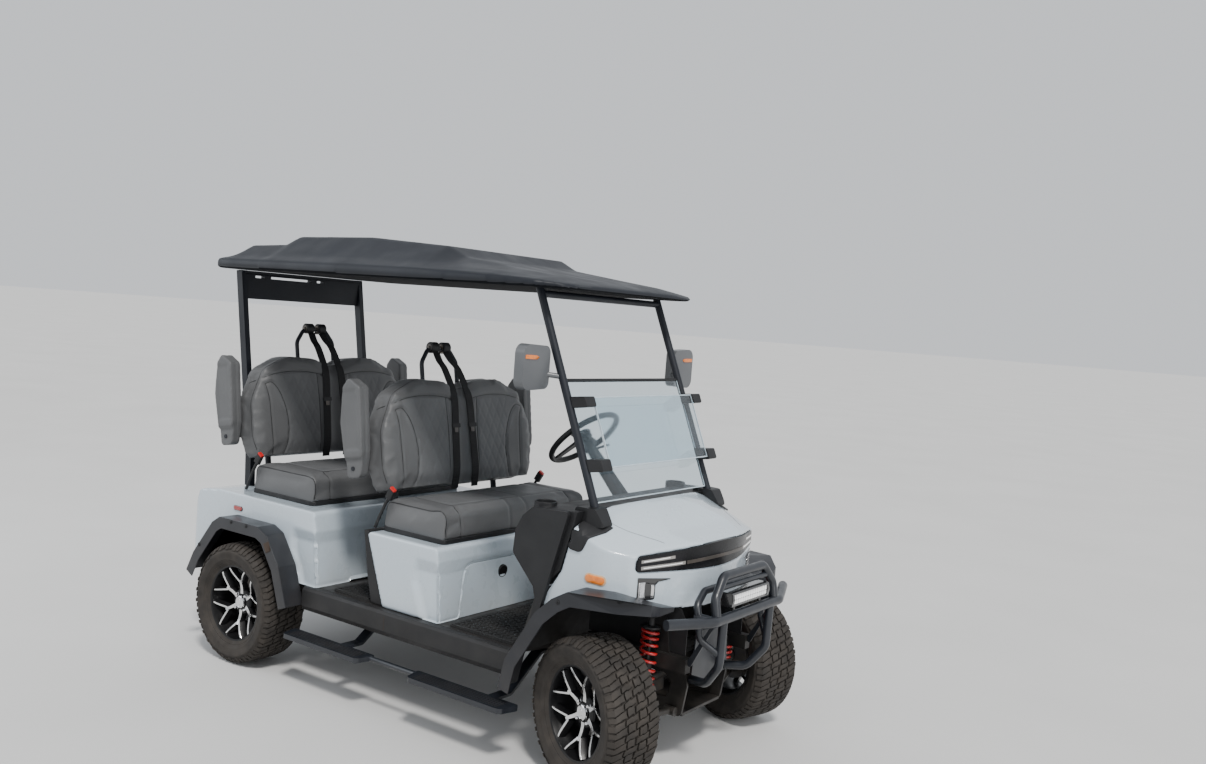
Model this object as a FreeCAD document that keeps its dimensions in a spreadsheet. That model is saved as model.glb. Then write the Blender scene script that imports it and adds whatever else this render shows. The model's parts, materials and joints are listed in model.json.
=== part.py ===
# Four-seat golf cart with forward-facing benches, in millimetres.
# +X points forward, +Y to the left and +Z up. The origin is on the ground, at the middle of the length.
import FreeCAD, Part

import math
import os
import re

from FreeCAD import Placement, Rotation, Vector

# Driving sizes: alias, value, meaning.
SIZES = (
    ("wheelbase", 2082, "front axle to rear axle"),
    ("front_overhang", 352, "front axle to the bumper's front"),
    ("rear_overhang", 560, "rear axle to the roof's rear edge"),
    ("front_track", 1120, "between the middles of the front tyres"),
    ("rear_track", 1210, "between the middles of the rear tyres"),
    ("kingpin_spacing", 1060, "between the steering axes"),
    ("rest_steer", -20, "degrees that the front wheels are turned at rest"),
    ("tyre_radius", 292, "outside the tread"),
    ("tyre_width", 235, "across the side walls"),
    ("tread_width", 200, "across the tread"),
    ("rim_radius", 178, "bead seat of the rim"),
    ("rim_width", 178, "between the rim's beads"),
    ("rim_wall", 6, "barrel of the rim"),
    ("hub_radius", 64, "middle pad of the rim"),
    ("hub_seat", 20, "hub flange outside the middle of the tyre"),
    ("bead_gap", 0.3, "rim to tyre"),
    ("seat_gap", 0.3, "clearance where a piece sits on another"),
    ("running_gap", 0.3, "clearance of a shaft in its bore"),
    ("rail_spacing", 500, "between the middles of the frame rails"),
    ("rail_width", 40, "frame rail"),
    ("rail_height", 60, "frame rail"),
    ("rail_level", 395, "middle of the rail under the floor"),
    ("rail_front_level", 455, "middle of the rail over the front axle"),
    ("rail_rear_level", 470, "middle of the rail over the rear axle"),
    ("rail_bend", 60, "bend radius of the frame rails"),
    ("member_width", 50, "cross members of the frame"),
    ("subframe_width", 330, "front sub-frame over its cheeks"),
    ("subframe_length", 300, "front sub-frame at its keel"),
    ("cheek_thickness", 12, "cheeks and keel of the front sub-frame"),
    ("arm_tube", 26, "suspension arm tube"),
    ("upright_radius", 20, "knuckle at the steering axis"),
    ("ball_radius", 23, "boss at the end of each arm"),
    ("tie_rod_radius", 11, "tie rod and rack"),
    ("steering_arm", 95, "steering axis to the tie rod"),
    ("axle_radius", 36, "rear axle tube"),
    ("floor_thickness", 20, "floor pan"),
    ("floor_width", 1148, "floor pan between the rockers"),
    ("mat_thickness", 8, "floor mats"),
    ("rocker_width", 46, "rocker panel"),
    ("rocker_height", 112, "rocker panel"),
    ("step_height", 244, "top of the side steps"),
    ("step_out", 724, "outer edge of the side steps"),
    ("step_in", 628, "inner edge of the side steps"),
    ("step_thickness", 22, "side step board"),
    ("pod_width", 1160, "front seat pod"),
    ("pod_height", 770, "top of the front seat pod"),
    ("front_seat", 990, "rear axle to the middle of the front seat pod"),
    ("nose_width", 1110, "nose body"),
    ("panel_thickness", 20, "cowl side panels"),
    ("rear_body_width", 1200, "rear body"),
    ("rear_body_height", 800, "rear body at the seat"),
    ("flare_out", 705, "outer face of the flares"),
    ("front_flare_out", 676, "outer face of the front flares"),
    ("flare_width", 56, "band of the flares"),
    ("flare_wall", 5, "skin and lip of the flares"),
    ("cushion_width", 1040, "both seat cushions"),
    ("cushion_height", 140, "both seat cushions"),
    ("back_width", 1080, "both backrests"),
    ("back_height", 545, "both backrests"),
    ("back_thickness", 120, "both backrests"),
    ("back_tilt", 10, "degrees that the backrests lean back"),
    ("seat_plate", 8, "plates under the cushions"),
    ("armrest_width", 62, "armrests"),
    ("armrest_gap", 8, "backrest to armrest"),
    ("pillar_spacing", 892, "front pillars"),
    ("pillar_radius", 17, "front pillars"),
    ("rear_pillar_spacing", 800, "rear pillars"),
    ("rear_pillar_width", 44, "rear pillars"),
    ("pillar_slope", 0.42, "front pillars: back for each mm up"),
    ("roof_level", 1915, "underside of the roof"),
    ("roof_width", 1250, "roof"),
    ("glass_thickness", 6, "windshield panes"),
    ("glass_inset", 61, "folded pane's edge inside the middle of the pillar"),
    ("bumper_tube", 42, "main bumper tube"),
    ("wheel_rim_radius", 180, "steering wheel"),
    ("cup_radius", 40, "cup holder"),
    ("cup_depth", 75, "cup holder"),
)

os.makedirs("parts", exist_ok=True)
doc = FreeCAD.newDocument("golf_cart")

sheet = doc.addObject("Spreadsheet::Sheet", "Sizes")
for row, (alias, value, meaning) in enumerate(SIZES, 1):
    sheet.set("A%d" % row, alias)
    sheet.set("B%d" % row, str(value))
    sheet.set("C%d" % row, meaning)
    sheet.setAlias("B%d" % row, alias)
doc.recompute()


class Sizes:
    """The sheet's values by name."""


size = Sizes()
for alias, _, _ in SIZES:
    setattr(size, alias, float(getattr(sheet, alias)))

nodes = []

# Places that many pieces share.
half_length = (size.rear_overhang + size.wheelbase + size.front_overhang) / 2
front_axle = half_length - size.front_overhang
rear_axle = front_axle - size.wheelbase
axle_height = size.tyre_radius
floor_bottom = size.rail_level + size.rail_height / 2
floor_top = floor_bottom + size.floor_thickness
rail_in = (size.rail_spacing - size.rail_width) / 2
rail_out = (size.rail_spacing + size.rail_width) / 2


# Helpers for outlines, sketches and document objects

def at(anchor, table):
    """Corners given from an anchor along X, as corners in the cart's frame."""
    return [(anchor + row[0],) + tuple(row[1:]) for row in table]


def mirrored(half):
    """A closed outline from its half on the positive side of the second axis."""
    return list(half) + [(c[0], -c[1]) + tuple(c[2:]) for c in reversed(half)]


def balanced(half):
    """A closed outline from its half on the positive side of the first axis."""
    return list(half) + [(-c[0],) + tuple(c[1:]) for c in reversed(half)]


def edges_of(outline):
    """Lines and arcs round a closed outline of (a, b) or (a, b, corner radius)."""
    stops = []
    count = len(outline)
    for index, corner in enumerate(outline):
        here = Vector(corner[0], corner[1], 0)
        radius = corner[2] if len(corner) > 2 else 0
        if not radius:
            stops.append((here, here, None))
            continue
        back = (Vector(*outline[index - 1][:2], 0) - here).normalize()
        ahead = (Vector(*outline[(index + 1) % count][:2], 0) - here).normalize()
        half = back.getAngle(ahead) / 2
        reach = radius / math.tan(half)
        inward = (back + ahead).normalize()
        middle = here + inward * (radius / math.sin(half) - radius)
        start = here + back * reach
        end = here + ahead * reach
        stops.append((start, end, Part.Arc(start, middle, end)))
    edges = []
    for index, (start, end, arc) in enumerate(stops):
        if arc:
            edges.append(arc)
        following = stops[(index + 1) % count][0]
        if (following - end).Length > 1e-6:
            edges.append(Part.LineSegment(end, following))
    return edges


def band(path, width, radius=0, shift=0):
    """Outline of a bent bar of one width along a path of (a, b) points, shifted to the path's left."""
    left, right = [], []
    last = len(path) - 1
    for index, point in enumerate(path):
        here = Vector(*point, 0)
        before = here - Vector(*path[max(index - 1, 0)], 0)
        after = Vector(*path[min(index + 1, last)], 0) - here
        before = before.normalize() if before.Length else after.normalize()
        after = after.normalize() if after.Length else before
        along = (before + after).normalize()
        across = Vector(-along.y, along.x, 0) * (1 / along.dot(before))
        corner = (radius,) if radius and 0 < index < last else ()
        for line, reach in ((left, shift + width / 2), (right, shift - width / 2)):
            line.append((here.x + across.x * reach, here.y + across.y * reach) + corner)
    return left + right[::-1]


def bound(text):
    """An expression on the sheet from plain alias names."""
    return re.sub(r"[a-z][a-z_]+", lambda found: "Sizes." + found.group(), str(text))


def node(thing, label):
    """Names a finished sub-part and lists it for export."""
    thing.Label = label
    nodes.append(thing)
    return thing


def origin_part(body, role):
    return next(part for part in body.Origin.OriginFeatures if part.Role == role)


class Solid:
    """A body built from sketches on its own origin planes."""

    def __init__(self, name):
        self.body = doc.addObject("PartDesign::Body", name)
        self.body.AllowCompound = True

    def sketch(self, plane, outlines, offset):
        sketch = self.body.newObject("Sketcher::SketchObject", "outline")
        sketch.AttachmentSupport = (origin_part(self.body, plane + "_Plane"), "")
        sketch.MapMode = "FlatFace"
        sign = "-" if plane == "XZ" else ""
        sketch.setExpression("AttachmentOffset.Base.z", "%s(%s)" % (sign, bound(offset)))
        for outline in outlines:
            sketch.addGeometry(edges_of(outline), False)
        return sketch

    def feature(self, kind, plane, low, high, outlines):
        """A pad or pocket between two levels, which may be expressions on the sheet."""
        sketch = self.sketch(plane, outlines, low)
        feature = self.body.newObject("PartDesign::" + kind, kind.lower())
        feature.Profile = sketch
        feature.setExpression("Length", "(%s) - (%s)" % (bound(high), bound(low)))
        feature.Reversed = (plane == "XZ") == (kind == "Pad")
        sketch.Visibility = False
        self.body.Tip = feature
        return feature

    def pad(self, plane, low, high, *outlines):
        self.feature("Pad", plane, low, high, outlines)
        return self

    def pocket(self, plane, low, high, *outlines):
        self.feature("Pocket", plane, low, high, outlines)
        return self

    def revolve(self, outline):
        """A turned form about Y, from (radius, place along Y) corners."""
        sketch = self.sketch("XY", [outline], "0")
        feature = self.body.newObject("PartDesign::Revolution", "turned")
        feature.Profile = sketch
        feature.ReferenceAxis = (sketch, ["V_Axis"])
        feature.Angle = 360
        self.body.Tip = feature
        return self


def group(kind, things, name="joined"):
    """A fuse, common or compound of several objects."""
    joined = doc.addObject("Part::" + kind, name)
    setattr(joined, "Links" if kind == "Compound" else "Shapes", things)
    return joined


def cut(base, tool, name="cut"):
    result = doc.addObject("Part::Cut", name)
    result.Base = base
    result.Tool = tool
    return result


def across(thing):
    """The same piece on the other side of the cart."""
    other = doc.addObject("Part::Mirroring", "other_side")
    other.Source = thing
    other.Normal = Vector(0, 1, 0)
    return other


def both(thing, label):
    """A node with a piece on each side."""
    return node(group("Compound", [thing, across(thing)], label), label)


def placed(thing, placement, name="placed"):
    """One object at another place."""
    copy = doc.addObject("Part::Compound", name)
    copy.Links = [thing]
    copy.Placement = placement
    return copy


def cylinder(radius, start, end, name="round_bar"):
    """A round bar between two points; radius may be an expression on the sheet."""
    bar = doc.addObject("Part::Cylinder", name)
    start, end = Vector(*start), Vector(*end)
    bar.setExpression("Radius", bound(radius))
    bar.Height = (end - start).Length
    bar.Placement = Placement(start, Rotation(Vector(0, 0, 1), end - start))
    return bar


def tube(radius, points, bend, name="tube"):
    """A round tube along straight runs with bends of one radius."""
    points = [Vector(*point) for point in points]
    edges = []
    start = points[0]
    for before, here, after in zip(points, points[1:], points[2:]):
        back = (before - here).normalize()
        ahead = (after - here).normalize()
        half = back.getAngle(ahead) / 2
        reach = bend / math.tan(half)
        middle = here + (back + ahead).normalize() * (bend / math.sin(half) - bend)
        edges.append(Part.LineSegment(start, here + back * reach).toShape())
        edges.append(Part.Arc(here + back * reach, middle, here + ahead * reach).toShape())
        start = here + ahead * reach
    edges.append(Part.LineSegment(start, points[-1]).toShape())
    path = doc.addObject("Part::Feature", "path")
    path.Shape = Part.Wire(edges)
    ring = doc.addObject("Part::Circle", "section")
    ring.setExpression("Radius", bound(radius))
    ring.Placement = Placement(points[0], Rotation(Vector(0, 0, 1), points[1] - points[0]))
    sweep = doc.addObject("Part::Sweep", name)
    sweep.Sections = [ring]
    sweep.Spine = (path, ["Edge%d" % (index + 1) for index in range(len(edges))])
    sweep.Solid = True
    sweep.Frenet = False
    return sweep


def loft(sections, name):
    """A ruled solid through closed outlines of 3D corners, each with as many corners."""
    wires = []
    for corners in sections:
        wire = doc.addObject("Part::Feature", "section")
        wire.Shape = Part.makePolygon([Vector(*corner) for corner in corners + corners[:1]])
        wires.append(wire)
    solid = doc.addObject("Part::Loft", name)
    solid.Sections = wires
    solid.Solid = True
    solid.Ruled = True
    return solid


# Frame: two bent rails, with cross members between them and outriggers under the floor's edges

rail_rise = size.rail_height / 2
rail_path = at(rear_axle, [(-470, size.rail_rear_level), (300, size.rail_rear_level), (430, size.rail_level)])
rail_path += at(front_axle, [(-365, size.rail_level), (-270, size.rail_front_level),
                             (215, size.rail_front_level)])
rail = Solid("rail").pad("XZ", "(rail_spacing - rail_width) / 2", "(rail_spacing + rail_width) / 2",
                         band(rail_path, size.rail_height, size.rail_bend))
frame_parts = [rail.body, across(rail.body)]

pod_middle = rear_axle + size.front_seat
member_half = size.member_width / 2
member_rise = rail_rise - 8
# Cross members: place along X, middle level
member_rows = (
    (rear_axle - 440, size.rail_rear_level),
    (rear_axle + 280, size.rail_rear_level),
    (rear_axle + 560, size.rail_level),
    (pod_middle - 150, size.rail_level),
    (pod_middle + 200, size.rail_level),
    (front_axle - 460, size.rail_level),
)
for member_x, level in member_rows:
    low, high = level - member_rise, level + member_rise
    start, end = member_x - member_half, member_x + member_half
    member = Solid("member").pad("XZ", "-(rail_spacing - rail_width) / 2", "(rail_spacing - rail_width) / 2",
                                 [(start, low, 6), (end, low, 6), (end, high, 6), (start, high, 6)])
    frame_parts.append(member.body)

floor_side = size.floor_width / 2
outrigger_half = 18
outrigger_outline = [(rail_out, floor_bottom - 52), (floor_side, floor_bottom - 22),
                     (floor_side, floor_bottom), (rail_out, floor_bottom)]
for outrigger_x in (rear_axle + 620, pod_middle, front_axle - 480):
    outrigger = Solid("outrigger").pad("YZ", outrigger_x - outrigger_half, outrigger_x + outrigger_half,
                                       outrigger_outline)
    frame_parts += [outrigger.body, across(outrigger.body)]
node(group("Compound", frame_parts, "chassis_frame"), "chassis_frame")

# The front sub-frame hangs under the rails on two shelves and carries the arms.
subframe_side = size.subframe_width / 2
subframe_front = size.subframe_length / 2
arm_low, arm_high = axle_height - 62, axle_height + 98
cheek_low = arm_low - 22
keel_top = cheek_low + size.cheek_thickness
shelf_low = size.rail_front_level - 26
shelf_high = size.rail_front_level + 10
cheek_half = [(subframe_front, cheek_low, 20), (subframe_front + 20, 340, 20),
              (subframe_front - 10, shelf_low)]
cheek_outline = at(front_axle, balanced(cheek_half))
rest_turn = math.radians(size.rest_steer)
rod_x = front_axle - size.steering_arm * math.cos(rest_turn)
eye_level = axle_height + 4
rod_level = eye_level - size.seat_gap - size.tie_rod_radius
rod_room = size.tie_rod_radius + 8
window_half = [(80, arm_low + 44, 18), (94, 345, 18), (60, 372, 18)]
rod_window = [(rod_x - rod_room, rod_level - rod_room, 14), (rod_x + rod_room, rod_level - rod_room, 2),
              (rod_x + rod_room, rod_level + rod_room, 2), (rod_x - rod_room, rod_level + rod_room, 14)]
cheek_in = subframe_side - size.cheek_thickness
cheek = Solid("cheek").pad("XZ", "subframe_width / 2 - cheek_thickness", "subframe_width / 2", cheek_outline)
cheek.pocket("XZ", cheek_in, subframe_side, at(front_axle, balanced(window_half)))
cheek.pocket("XZ", cheek_in, subframe_side, rod_window)
keel = Solid("keel").pad("XY", cheek_low, keel_top,
                         at(front_axle, mirrored([(-subframe_front, cheek_in), (subframe_front, cheek_in)])))
subframe_parts = [cheek.body, across(cheek.body), keel.body]
for shelf_x in (-subframe_front + 20, subframe_front - 50):
    shelf = Solid("shelf").pad("XY", shelf_low, shelf_high,
                               at(front_axle, mirrored([(shelf_x, rail_in), (shelf_x + 30, rail_in)])))
    subframe_parts.append(shelf.body)
node(group("Compound", subframe_parts, "front_subframe"), "front_subframe")

# Brackets on the rails: shock towers over the front axle, spring hangers at the rear
pin_radius = 9
shock_x = front_axle + 65
shock_top = (shock_x, 304, 648)
tower_base = size.rail_front_level + rail_rise
tower_top = shock_top[2] + 22
tower_in, tower_out = rail_out - 34, rail_out - 24
tower = Solid("tower").pad("XZ", tower_in, tower_out,
                           [(shock_x - 55, tower_base), (shock_x + 55, tower_base),
                            (shock_x + 24, tower_top, 20), (shock_x - 24, tower_top, 20)])
tower_pin = cylinder(pin_radius, (shock_x, tower_in + 4, shock_top[2]),
                     (shock_x, shock_top[1] + 14, shock_top[2]))
tower_whole = group("MultiFuse", [tower.body, tower_pin], "shock_tower")
bracket_parts = [tower_whole, across(tower_whole)]

spring_y = 350
spring_half = 30
spring_eye_level = 402
spring_reach = 400
hanger_low = spring_eye_level - 22
for hanger_x in (rear_axle - spring_reach, rear_axle + spring_reach):
    hanger = Solid("hanger").pad("XZ", rail_out, rail_out + 10,
                                 [(hanger_x - 30, hanger_low, 12), (hanger_x + 30, hanger_low, 12),
                                  (hanger_x + 45, size.rail_level + 30),
                                  (hanger_x + 45, size.rail_rear_level),
                                  (hanger_x - 45, size.rail_rear_level),
                                  (hanger_x - 45, size.rail_level + 30)])
    pin = cylinder(pin_radius, (hanger_x, rail_out + 2, spring_eye_level),
                   (hanger_x, spring_y - spring_half - size.seat_gap, spring_eye_level))
    hanger_whole = group("MultiFuse", [hanger.body, pin], "spring_hanger")
    bracket_parts += [hanger_whole, across(hanger_whole)]
node(group("Compound", bracket_parts, "frame_brackets"), "frame_brackets")


# Front suspension arms, one lower wishbone and one upper wishbone a side

kingpin = size.kingpin_spacing / 2
upright_low, upright_high = axle_height - 50, axle_height + 84
boss_height = 30
bush_radius, bush_half = 19, 24
pivot_y = subframe_side + bush_radius + size.seat_gap
arm_parts = []
# Columns: pivot places along X, level at the frame, boss bottom
for pivots, level, boss_low in (((-112, 112), arm_low, upright_low - boss_height - size.running_gap),
                                ((-118, -24), arm_high, upright_high + size.running_gap)):
    arm_parts.append(cylinder("ball_radius", (front_axle, kingpin, boss_low),
                              (front_axle, kingpin, boss_low + boss_height)))
    for pivot in pivots:
        pivot_x = front_axle + pivot
        inner = (pivot_x, pivot_y + 5, level)
        arm_parts.append(cylinder("arm_tube / 2", inner, (front_axle, kingpin, boss_low + boss_height / 2)))
        arm_parts.append(cylinder(bush_radius, (pivot_x - bush_half, pivot_y, level),
                                  (pivot_x + bush_half, pivot_y, level)))
arms = group("MultiFuse", arm_parts, "arms")
both(arms, "front_suspension_arms")

# Coil-over shocks stand on the lower arms
shock_foot = (shock_x, 331, arm_low + 12)
shock_line = Vector(*shock_top) - Vector(*shock_foot)
coil_count = 9
coil_start, coil_end = 96, shock_line.Length - 62
coil_pitch = (coil_end - coil_start) / coil_count
shock = Solid("shock_body")
shock_outline = [(0, 6), (17, 6), (17, coil_start - 14), (40, coil_start - 8), (40, coil_start)]
for turn in range(coil_count):
    middle = coil_start + coil_pitch * (turn + 0.5)
    shock_outline += [(27, middle - coil_pitch * 0.42), (36, middle - coil_pitch * 0.2),
                      (36, middle + coil_pitch * 0.2), (27, middle + coil_pitch * 0.42)]
shock_outline += [(40, coil_end), (40, coil_end + 8), (14, coil_end + 14), (14, shock_line.Length - 16),
                  (0, shock_line.Length - 16)]
shock.revolve(shock_outline)
standing_shock = placed(shock.body, Placement(Vector(*shock_foot), Rotation(Vector(0, 1, 0), shock_line)))
shock_lug = Solid("shock_lug").pad("XZ", shock_foot[1] - 14, shock_foot[1] + 14,
                                   [(shock_x - 15, arm_low + 13.3), (shock_x + 15, arm_low + 13.3),
                                    (shock_x + 11, arm_low + 40), (shock_x - 11, arm_low + 40)])
shock_ring = Solid("shock_ring").pad("XZ", shock_top[1] - 13, shock_top[1] + 13,
                                     [(shock_x - 20, shock_top[2] - 20, 12),
                                      (shock_x + 20, shock_top[2] - 20, 12),
                                      (shock_x + 20, shock_top[2] + 20, 12),
                                      (shock_x - 20, shock_top[2] + 20, 12)])
shock_bore = cylinder("%d + seat_gap" % pin_radius, (shock_x, shock_top[1] - 20, shock_top[2]),
                      (shock_x, shock_top[1] + 20, shock_top[2]))
shock_whole = cut(group("MultiFuse", [standing_shock, shock_lug.body, shock_ring.body]), shock_bore)
both(shock_whole, "front_shocks")


# Knuckles with hubs: built straight ahead, then turned to the rest angle

turned = Rotation(Vector(0, 0, 1), size.rest_steer)
hub_face = size.front_track / 2 - kingpin + size.hub_seat
knuckle_parts = [
    cylinder("upright_radius", (0, 0, upright_low), (0, 0, upright_high)),
    cylinder(30, (0, -18, axle_height), (0, hub_face, axle_height)),
    cylinder(62, (0, hub_face - 16, axle_height), (0, hub_face, axle_height)),
]
arm_blade = Solid("arm_blade").pad("XY", eye_level, eye_level + 14,
                                   [(-size.steering_arm - 20, -38, 16), (-size.steering_arm - 20, -2, 14),
                                    (-40, 14), (8, 16), (8, -16), (-50, -16)])
knuckle_parts.append(arm_blade.body)
knuckle = group("MultiFuse", knuckle_parts, "knuckle")
left_kingpin = Vector(front_axle, kingpin, 0)
right_kingpin = Vector(front_axle, -kingpin, 0)
node(placed(knuckle, Placement(left_kingpin, turned)), "knuckle_left")
node(placed(across(knuckle), Placement(right_kingpin, turned)), "knuckle_right")

# Rack in its housing, with the tie rods out to the knuckles' arms
eye_in = 20
rack_shift = -size.steering_arm * math.sin(rest_turn)
rod_end = kingpin - eye_in
rod = cylinder("tie_rod_radius", (rod_x, -rod_end + rack_shift, rod_level),
               (rod_x, rod_end + rack_shift, rod_level))
node(rod, "tie_rods")
housing_length = 250
housing = cylinder("tie_rod_radius + 11", (rod_x, -housing_length / 2, rod_level),
                   (rod_x, housing_length / 2, rod_level))
housing_bore = cylinder("tie_rod_radius + running_gap", (rod_x, -housing_length, rod_level),
                        (rod_x, housing_length, rod_level))
foot_low = keel_top + size.seat_gap
housing_foot = Solid("housing_foot").pad("XZ", -50, 50, [(rod_x - 20, foot_low), (rod_x + 20, foot_low),
                                                         (rod_x + 16, rod_level), (rod_x - 16, rod_level)])
node(cut(group("MultiFuse", [housing, housing_foot.body]), housing_bore), "steering_rack")


# Rear axle with differential and motor, on leaf springs

rear_hub = size.rear_track / 2 + size.hub_seat
axle_parts = [
    cylinder("axle_radius", (rear_axle, -rear_hub + 60, axle_height),
             (rear_axle, rear_hub - 60, axle_height)),
    cylinder(62, (rear_axle, rear_hub - 16, axle_height), (rear_axle, rear_hub, axle_height)),
    cylinder(28, (rear_axle, rear_hub - 70, axle_height), (rear_axle, rear_hub - 4, axle_height)),
    cylinder(62, (rear_axle, -rear_hub + 16, axle_height), (rear_axle, -rear_hub, axle_height)),
    cylinder(28, (rear_axle, -rear_hub + 70, axle_height), (rear_axle, -rear_hub + 4, axle_height)),
    cylinder(105, (rear_axle + 10, 30, axle_height + 5), (rear_axle + 10, 110, axle_height + 5)),
    cylinder(62, (rear_axle + 150, 34, axle_height + 20), (rear_axle + 150, 106, axle_height + 20)),
    cylinder(88, (rear_axle + 150, -170, axle_height + 20), (rear_axle + 150, 34, axle_height + 20)),
]
gear_outline = at(rear_axle, [(0, axle_height - 90, 30), (150, axle_height - 40, 20),
                              (180, axle_height + 60, 20), (0, axle_height + 100, 30)])
gear_case = Solid("gear_case").pad("XZ", 34, 106, gear_outline)
axle_parts.append(gear_case.body)
node(group("MultiFuse", axle_parts, "rear_axle"), "rear_axle")

leaf_seat = axle_height + size.axle_radius + size.seat_gap
leaf_thickness = 9
leaf_bite = 1.5
spring_parts = []
# Leaves: half length, top of the leaf at the axle
for leaf, half in enumerate((spring_reach, 300, 200)):
    base = leaf_seat + (leaf_thickness - leaf_bite) * (2 - leaf)
    rise = (spring_eye_level - leaf_seat - 22) * (half / spring_reach) ** 2
    path = at(rear_axle, [(-half, base + rise), (-half / 2, base + rise * 0.3), (0, base),
                          (half / 2, base + rise * 0.3), (half, base + rise)])
    high_side = [(x, z + leaf_thickness) for x, z in reversed(path)]
    leaf_body = Solid("leaf").pad("XZ", spring_y - spring_half, spring_y + spring_half, path + high_side)
    spring_parts.append(leaf_body.body)
clamp_top = leaf_seat + 36
clamp = Solid("spring_clamp").pad("XZ", spring_y - spring_half - 4, spring_y + spring_half + 4,
                                  at(rear_axle, balanced([(46, leaf_seat), (46, clamp_top, 6)])))
spring_parts.append(clamp.body)
for end in (-spring_reach, spring_reach):
    spring_parts.append(cylinder(20, (rear_axle + end, spring_y - spring_half, spring_eye_level),
                                 (rear_axle + end, spring_y + spring_half, spring_eye_level)))
both(group("MultiFuse", spring_parts, "leaf_spring"), "rear_leaf_springs")


# Battery: one plain block inside the seat pod

battery_half = 380
battery_top = size.pod_height - 85
battery = Solid("battery_block").pad("XZ", -battery_half, battery_half,
                                     at(pod_middle, [(-60, floor_top), (170, floor_top), (170, battery_top),
                                                     (-60, battery_top)]))
node(battery.body, "battery_block")


# Floor pan with its toe board, and the mats

toe_half = size.nose_width / 2 - size.seat_gap
toe_foot = front_axle - 405
floor_rear = rear_axle + 470
floor = Solid("floor").pad("XZ", "-floor_width / 2", "floor_width / 2",
                           [(floor_rear, floor_bottom), (toe_foot + 4, floor_bottom),
                            (toe_foot + 4, floor_top), (floor_rear, floor_top)])
toe_board = band([(toe_foot - 30, floor_top - 10), (toe_foot, floor_top - 10), (front_axle - 322, 700)],
                 size.floor_thickness)
floor.pad("XZ", -toe_half, toe_half, toe_board)
node(floor.body, "floor_pan")

mat_rows = ((rear_axle + 540, pod_middle - 190), (pod_middle + 290, front_axle - 425))
mats = []
for start, end in mat_rows:
    mat = Solid("mat").pad("XY", floor_top, floor_top + size.mat_thickness,
                           mirrored([(start, size.floor_width / 2 - 14, 30),
                                     (end, size.floor_width / 2 - 14, 30)]))
    mats.append(mat.body)
node(group("Compound", mats), "floor_mats")


# Rocker panels along the floor's edges

rocker_in = size.floor_width / 2
rocker_out = rocker_in + size.rocker_width
rocker_top = floor_top
rocker_low = rocker_top - size.rocker_height
rocker_outline = [(rocker_in, rocker_low + 6), (rocker_out - 16, rocker_low),
                  (rocker_out, rocker_low + 24, 8),
                  (rocker_out, rocker_top - 12, 10), (rocker_out - 10, rocker_top), (rocker_in, rocker_top)]
rocker = Solid("rocker").pad("YZ", rear_axle + 402, front_axle - 407, rocker_outline)
both(rocker.body, "rocker_panels")


# Side steps: two boards a side on brackets from the frame

step_low = size.step_height - size.step_thickness
step_parts = []
for start, end in ((rear_axle + 380, rear_axle + 930), (rear_axle + 1190, front_axle - 322)):
    board = Solid("board").pad("XY", step_low, size.step_height,
                               [(start, size.step_in, 12), (start + 26, size.step_out, 26),
                                (end - 26, size.step_out, 26), (end, size.step_in, 12)])
    step_parts.append(board.body)
step_parts.append(cylinder(12, (rear_axle + 910, size.step_in + 22, step_low + 11),
                           (rear_axle + 1210, size.step_in + 22, step_low + 11)))
for bracket_x in (rear_axle + 700, rear_axle + 1600):
    path = [(size.step_in + 20, step_low + 6), (size.step_in - 110, step_low + 6),
            (rail_out + 60, size.rail_level - 30), (rail_out + size.seat_gap, size.rail_level - 30)]
    bracket = Solid("bracket").pad("YZ", bracket_x - 26, bracket_x + 26, band(path, 12, 20))
    step_parts.append(bracket.body)
both(group("MultiFuse", step_parts, "steps"), "side_steps")


# Front seat pod, with its dark panels

pod_top = size.pod_height
knee_level = pod_top - 110
pod_outline = at(pod_middle, [(-220, pod_top, 18), (217, pod_top, 24), (235, knee_level), (255, floor_top),
                              (-95, floor_top)])
pod = Solid("pod_shell").pad("XZ", "-pod_width / 2", "pod_width / 2", pod_outline)
# Room for the battery, and the recess of the front panel
below = floor_top - 1
battery_room = battery_half + 10
pod.pocket("XZ", -battery_room, battery_room,
           at(pod_middle, [(-75, below), (185, below), (185, battery_top + 15), (-75, battery_top + 15)]))
panel_back = pod_middle + 212
panel_top = pod_top - 92
panel_foot, panel_head = 440, 395
pod.pocket("YZ", panel_back, panel_back + 58,
           [(-panel_foot, below), (panel_foot, below), (panel_head, panel_top, 60),
            (-panel_head, panel_top, 60)])
# An upright scoop at the front of each side
scoop_depth = 14
scoop = at(pod_middle, [(60, pod_top - 130, 26), (160, pod_top - 80, 20), (150, below), (110, below)])
pod_side = size.pod_width / 2
pod.pocket("XZ", pod_side - scoop_depth, pod_side + 1, scoop)
pod.pocket("XZ", -pod_side - 1, -pod_side + scoop_depth, scoop)
node(pod.body, "seat_pod")

panel_gap = 4
front_panel = Solid("pod_front_panel").pad("YZ", panel_back + size.seat_gap, panel_back + 16,
                                           balanced([(panel_foot - panel_gap, floor_top + 1),
                                                     (panel_head - panel_gap + 1, panel_top - panel_gap,
                                                      56)]))
port_y, port_level, port_radius = -142, pod_top - 158, 24
port = cylinder(port_radius, (panel_back + 10, port_y, port_level), (panel_back + 28, port_y, port_level))
panel_holed = cut(front_panel.body, port)
back_panel = Solid("pod_back_panel").pad("XZ", -pod_side + scoop_depth, pod_side - scoop_depth,
                                         at(pod_middle, [(-252, pod_top), (-223, pod_top - 3),
                                                         (-98, floor_top + 1),
                                                         (-180, floor_top + 1), (-212, pod_top - 210)]))
node(group("Compound", [panel_holed, back_panel.body]), "seat_pod_panels")


# Rear body: carries the rear seat, with arches for the wheels

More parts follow.
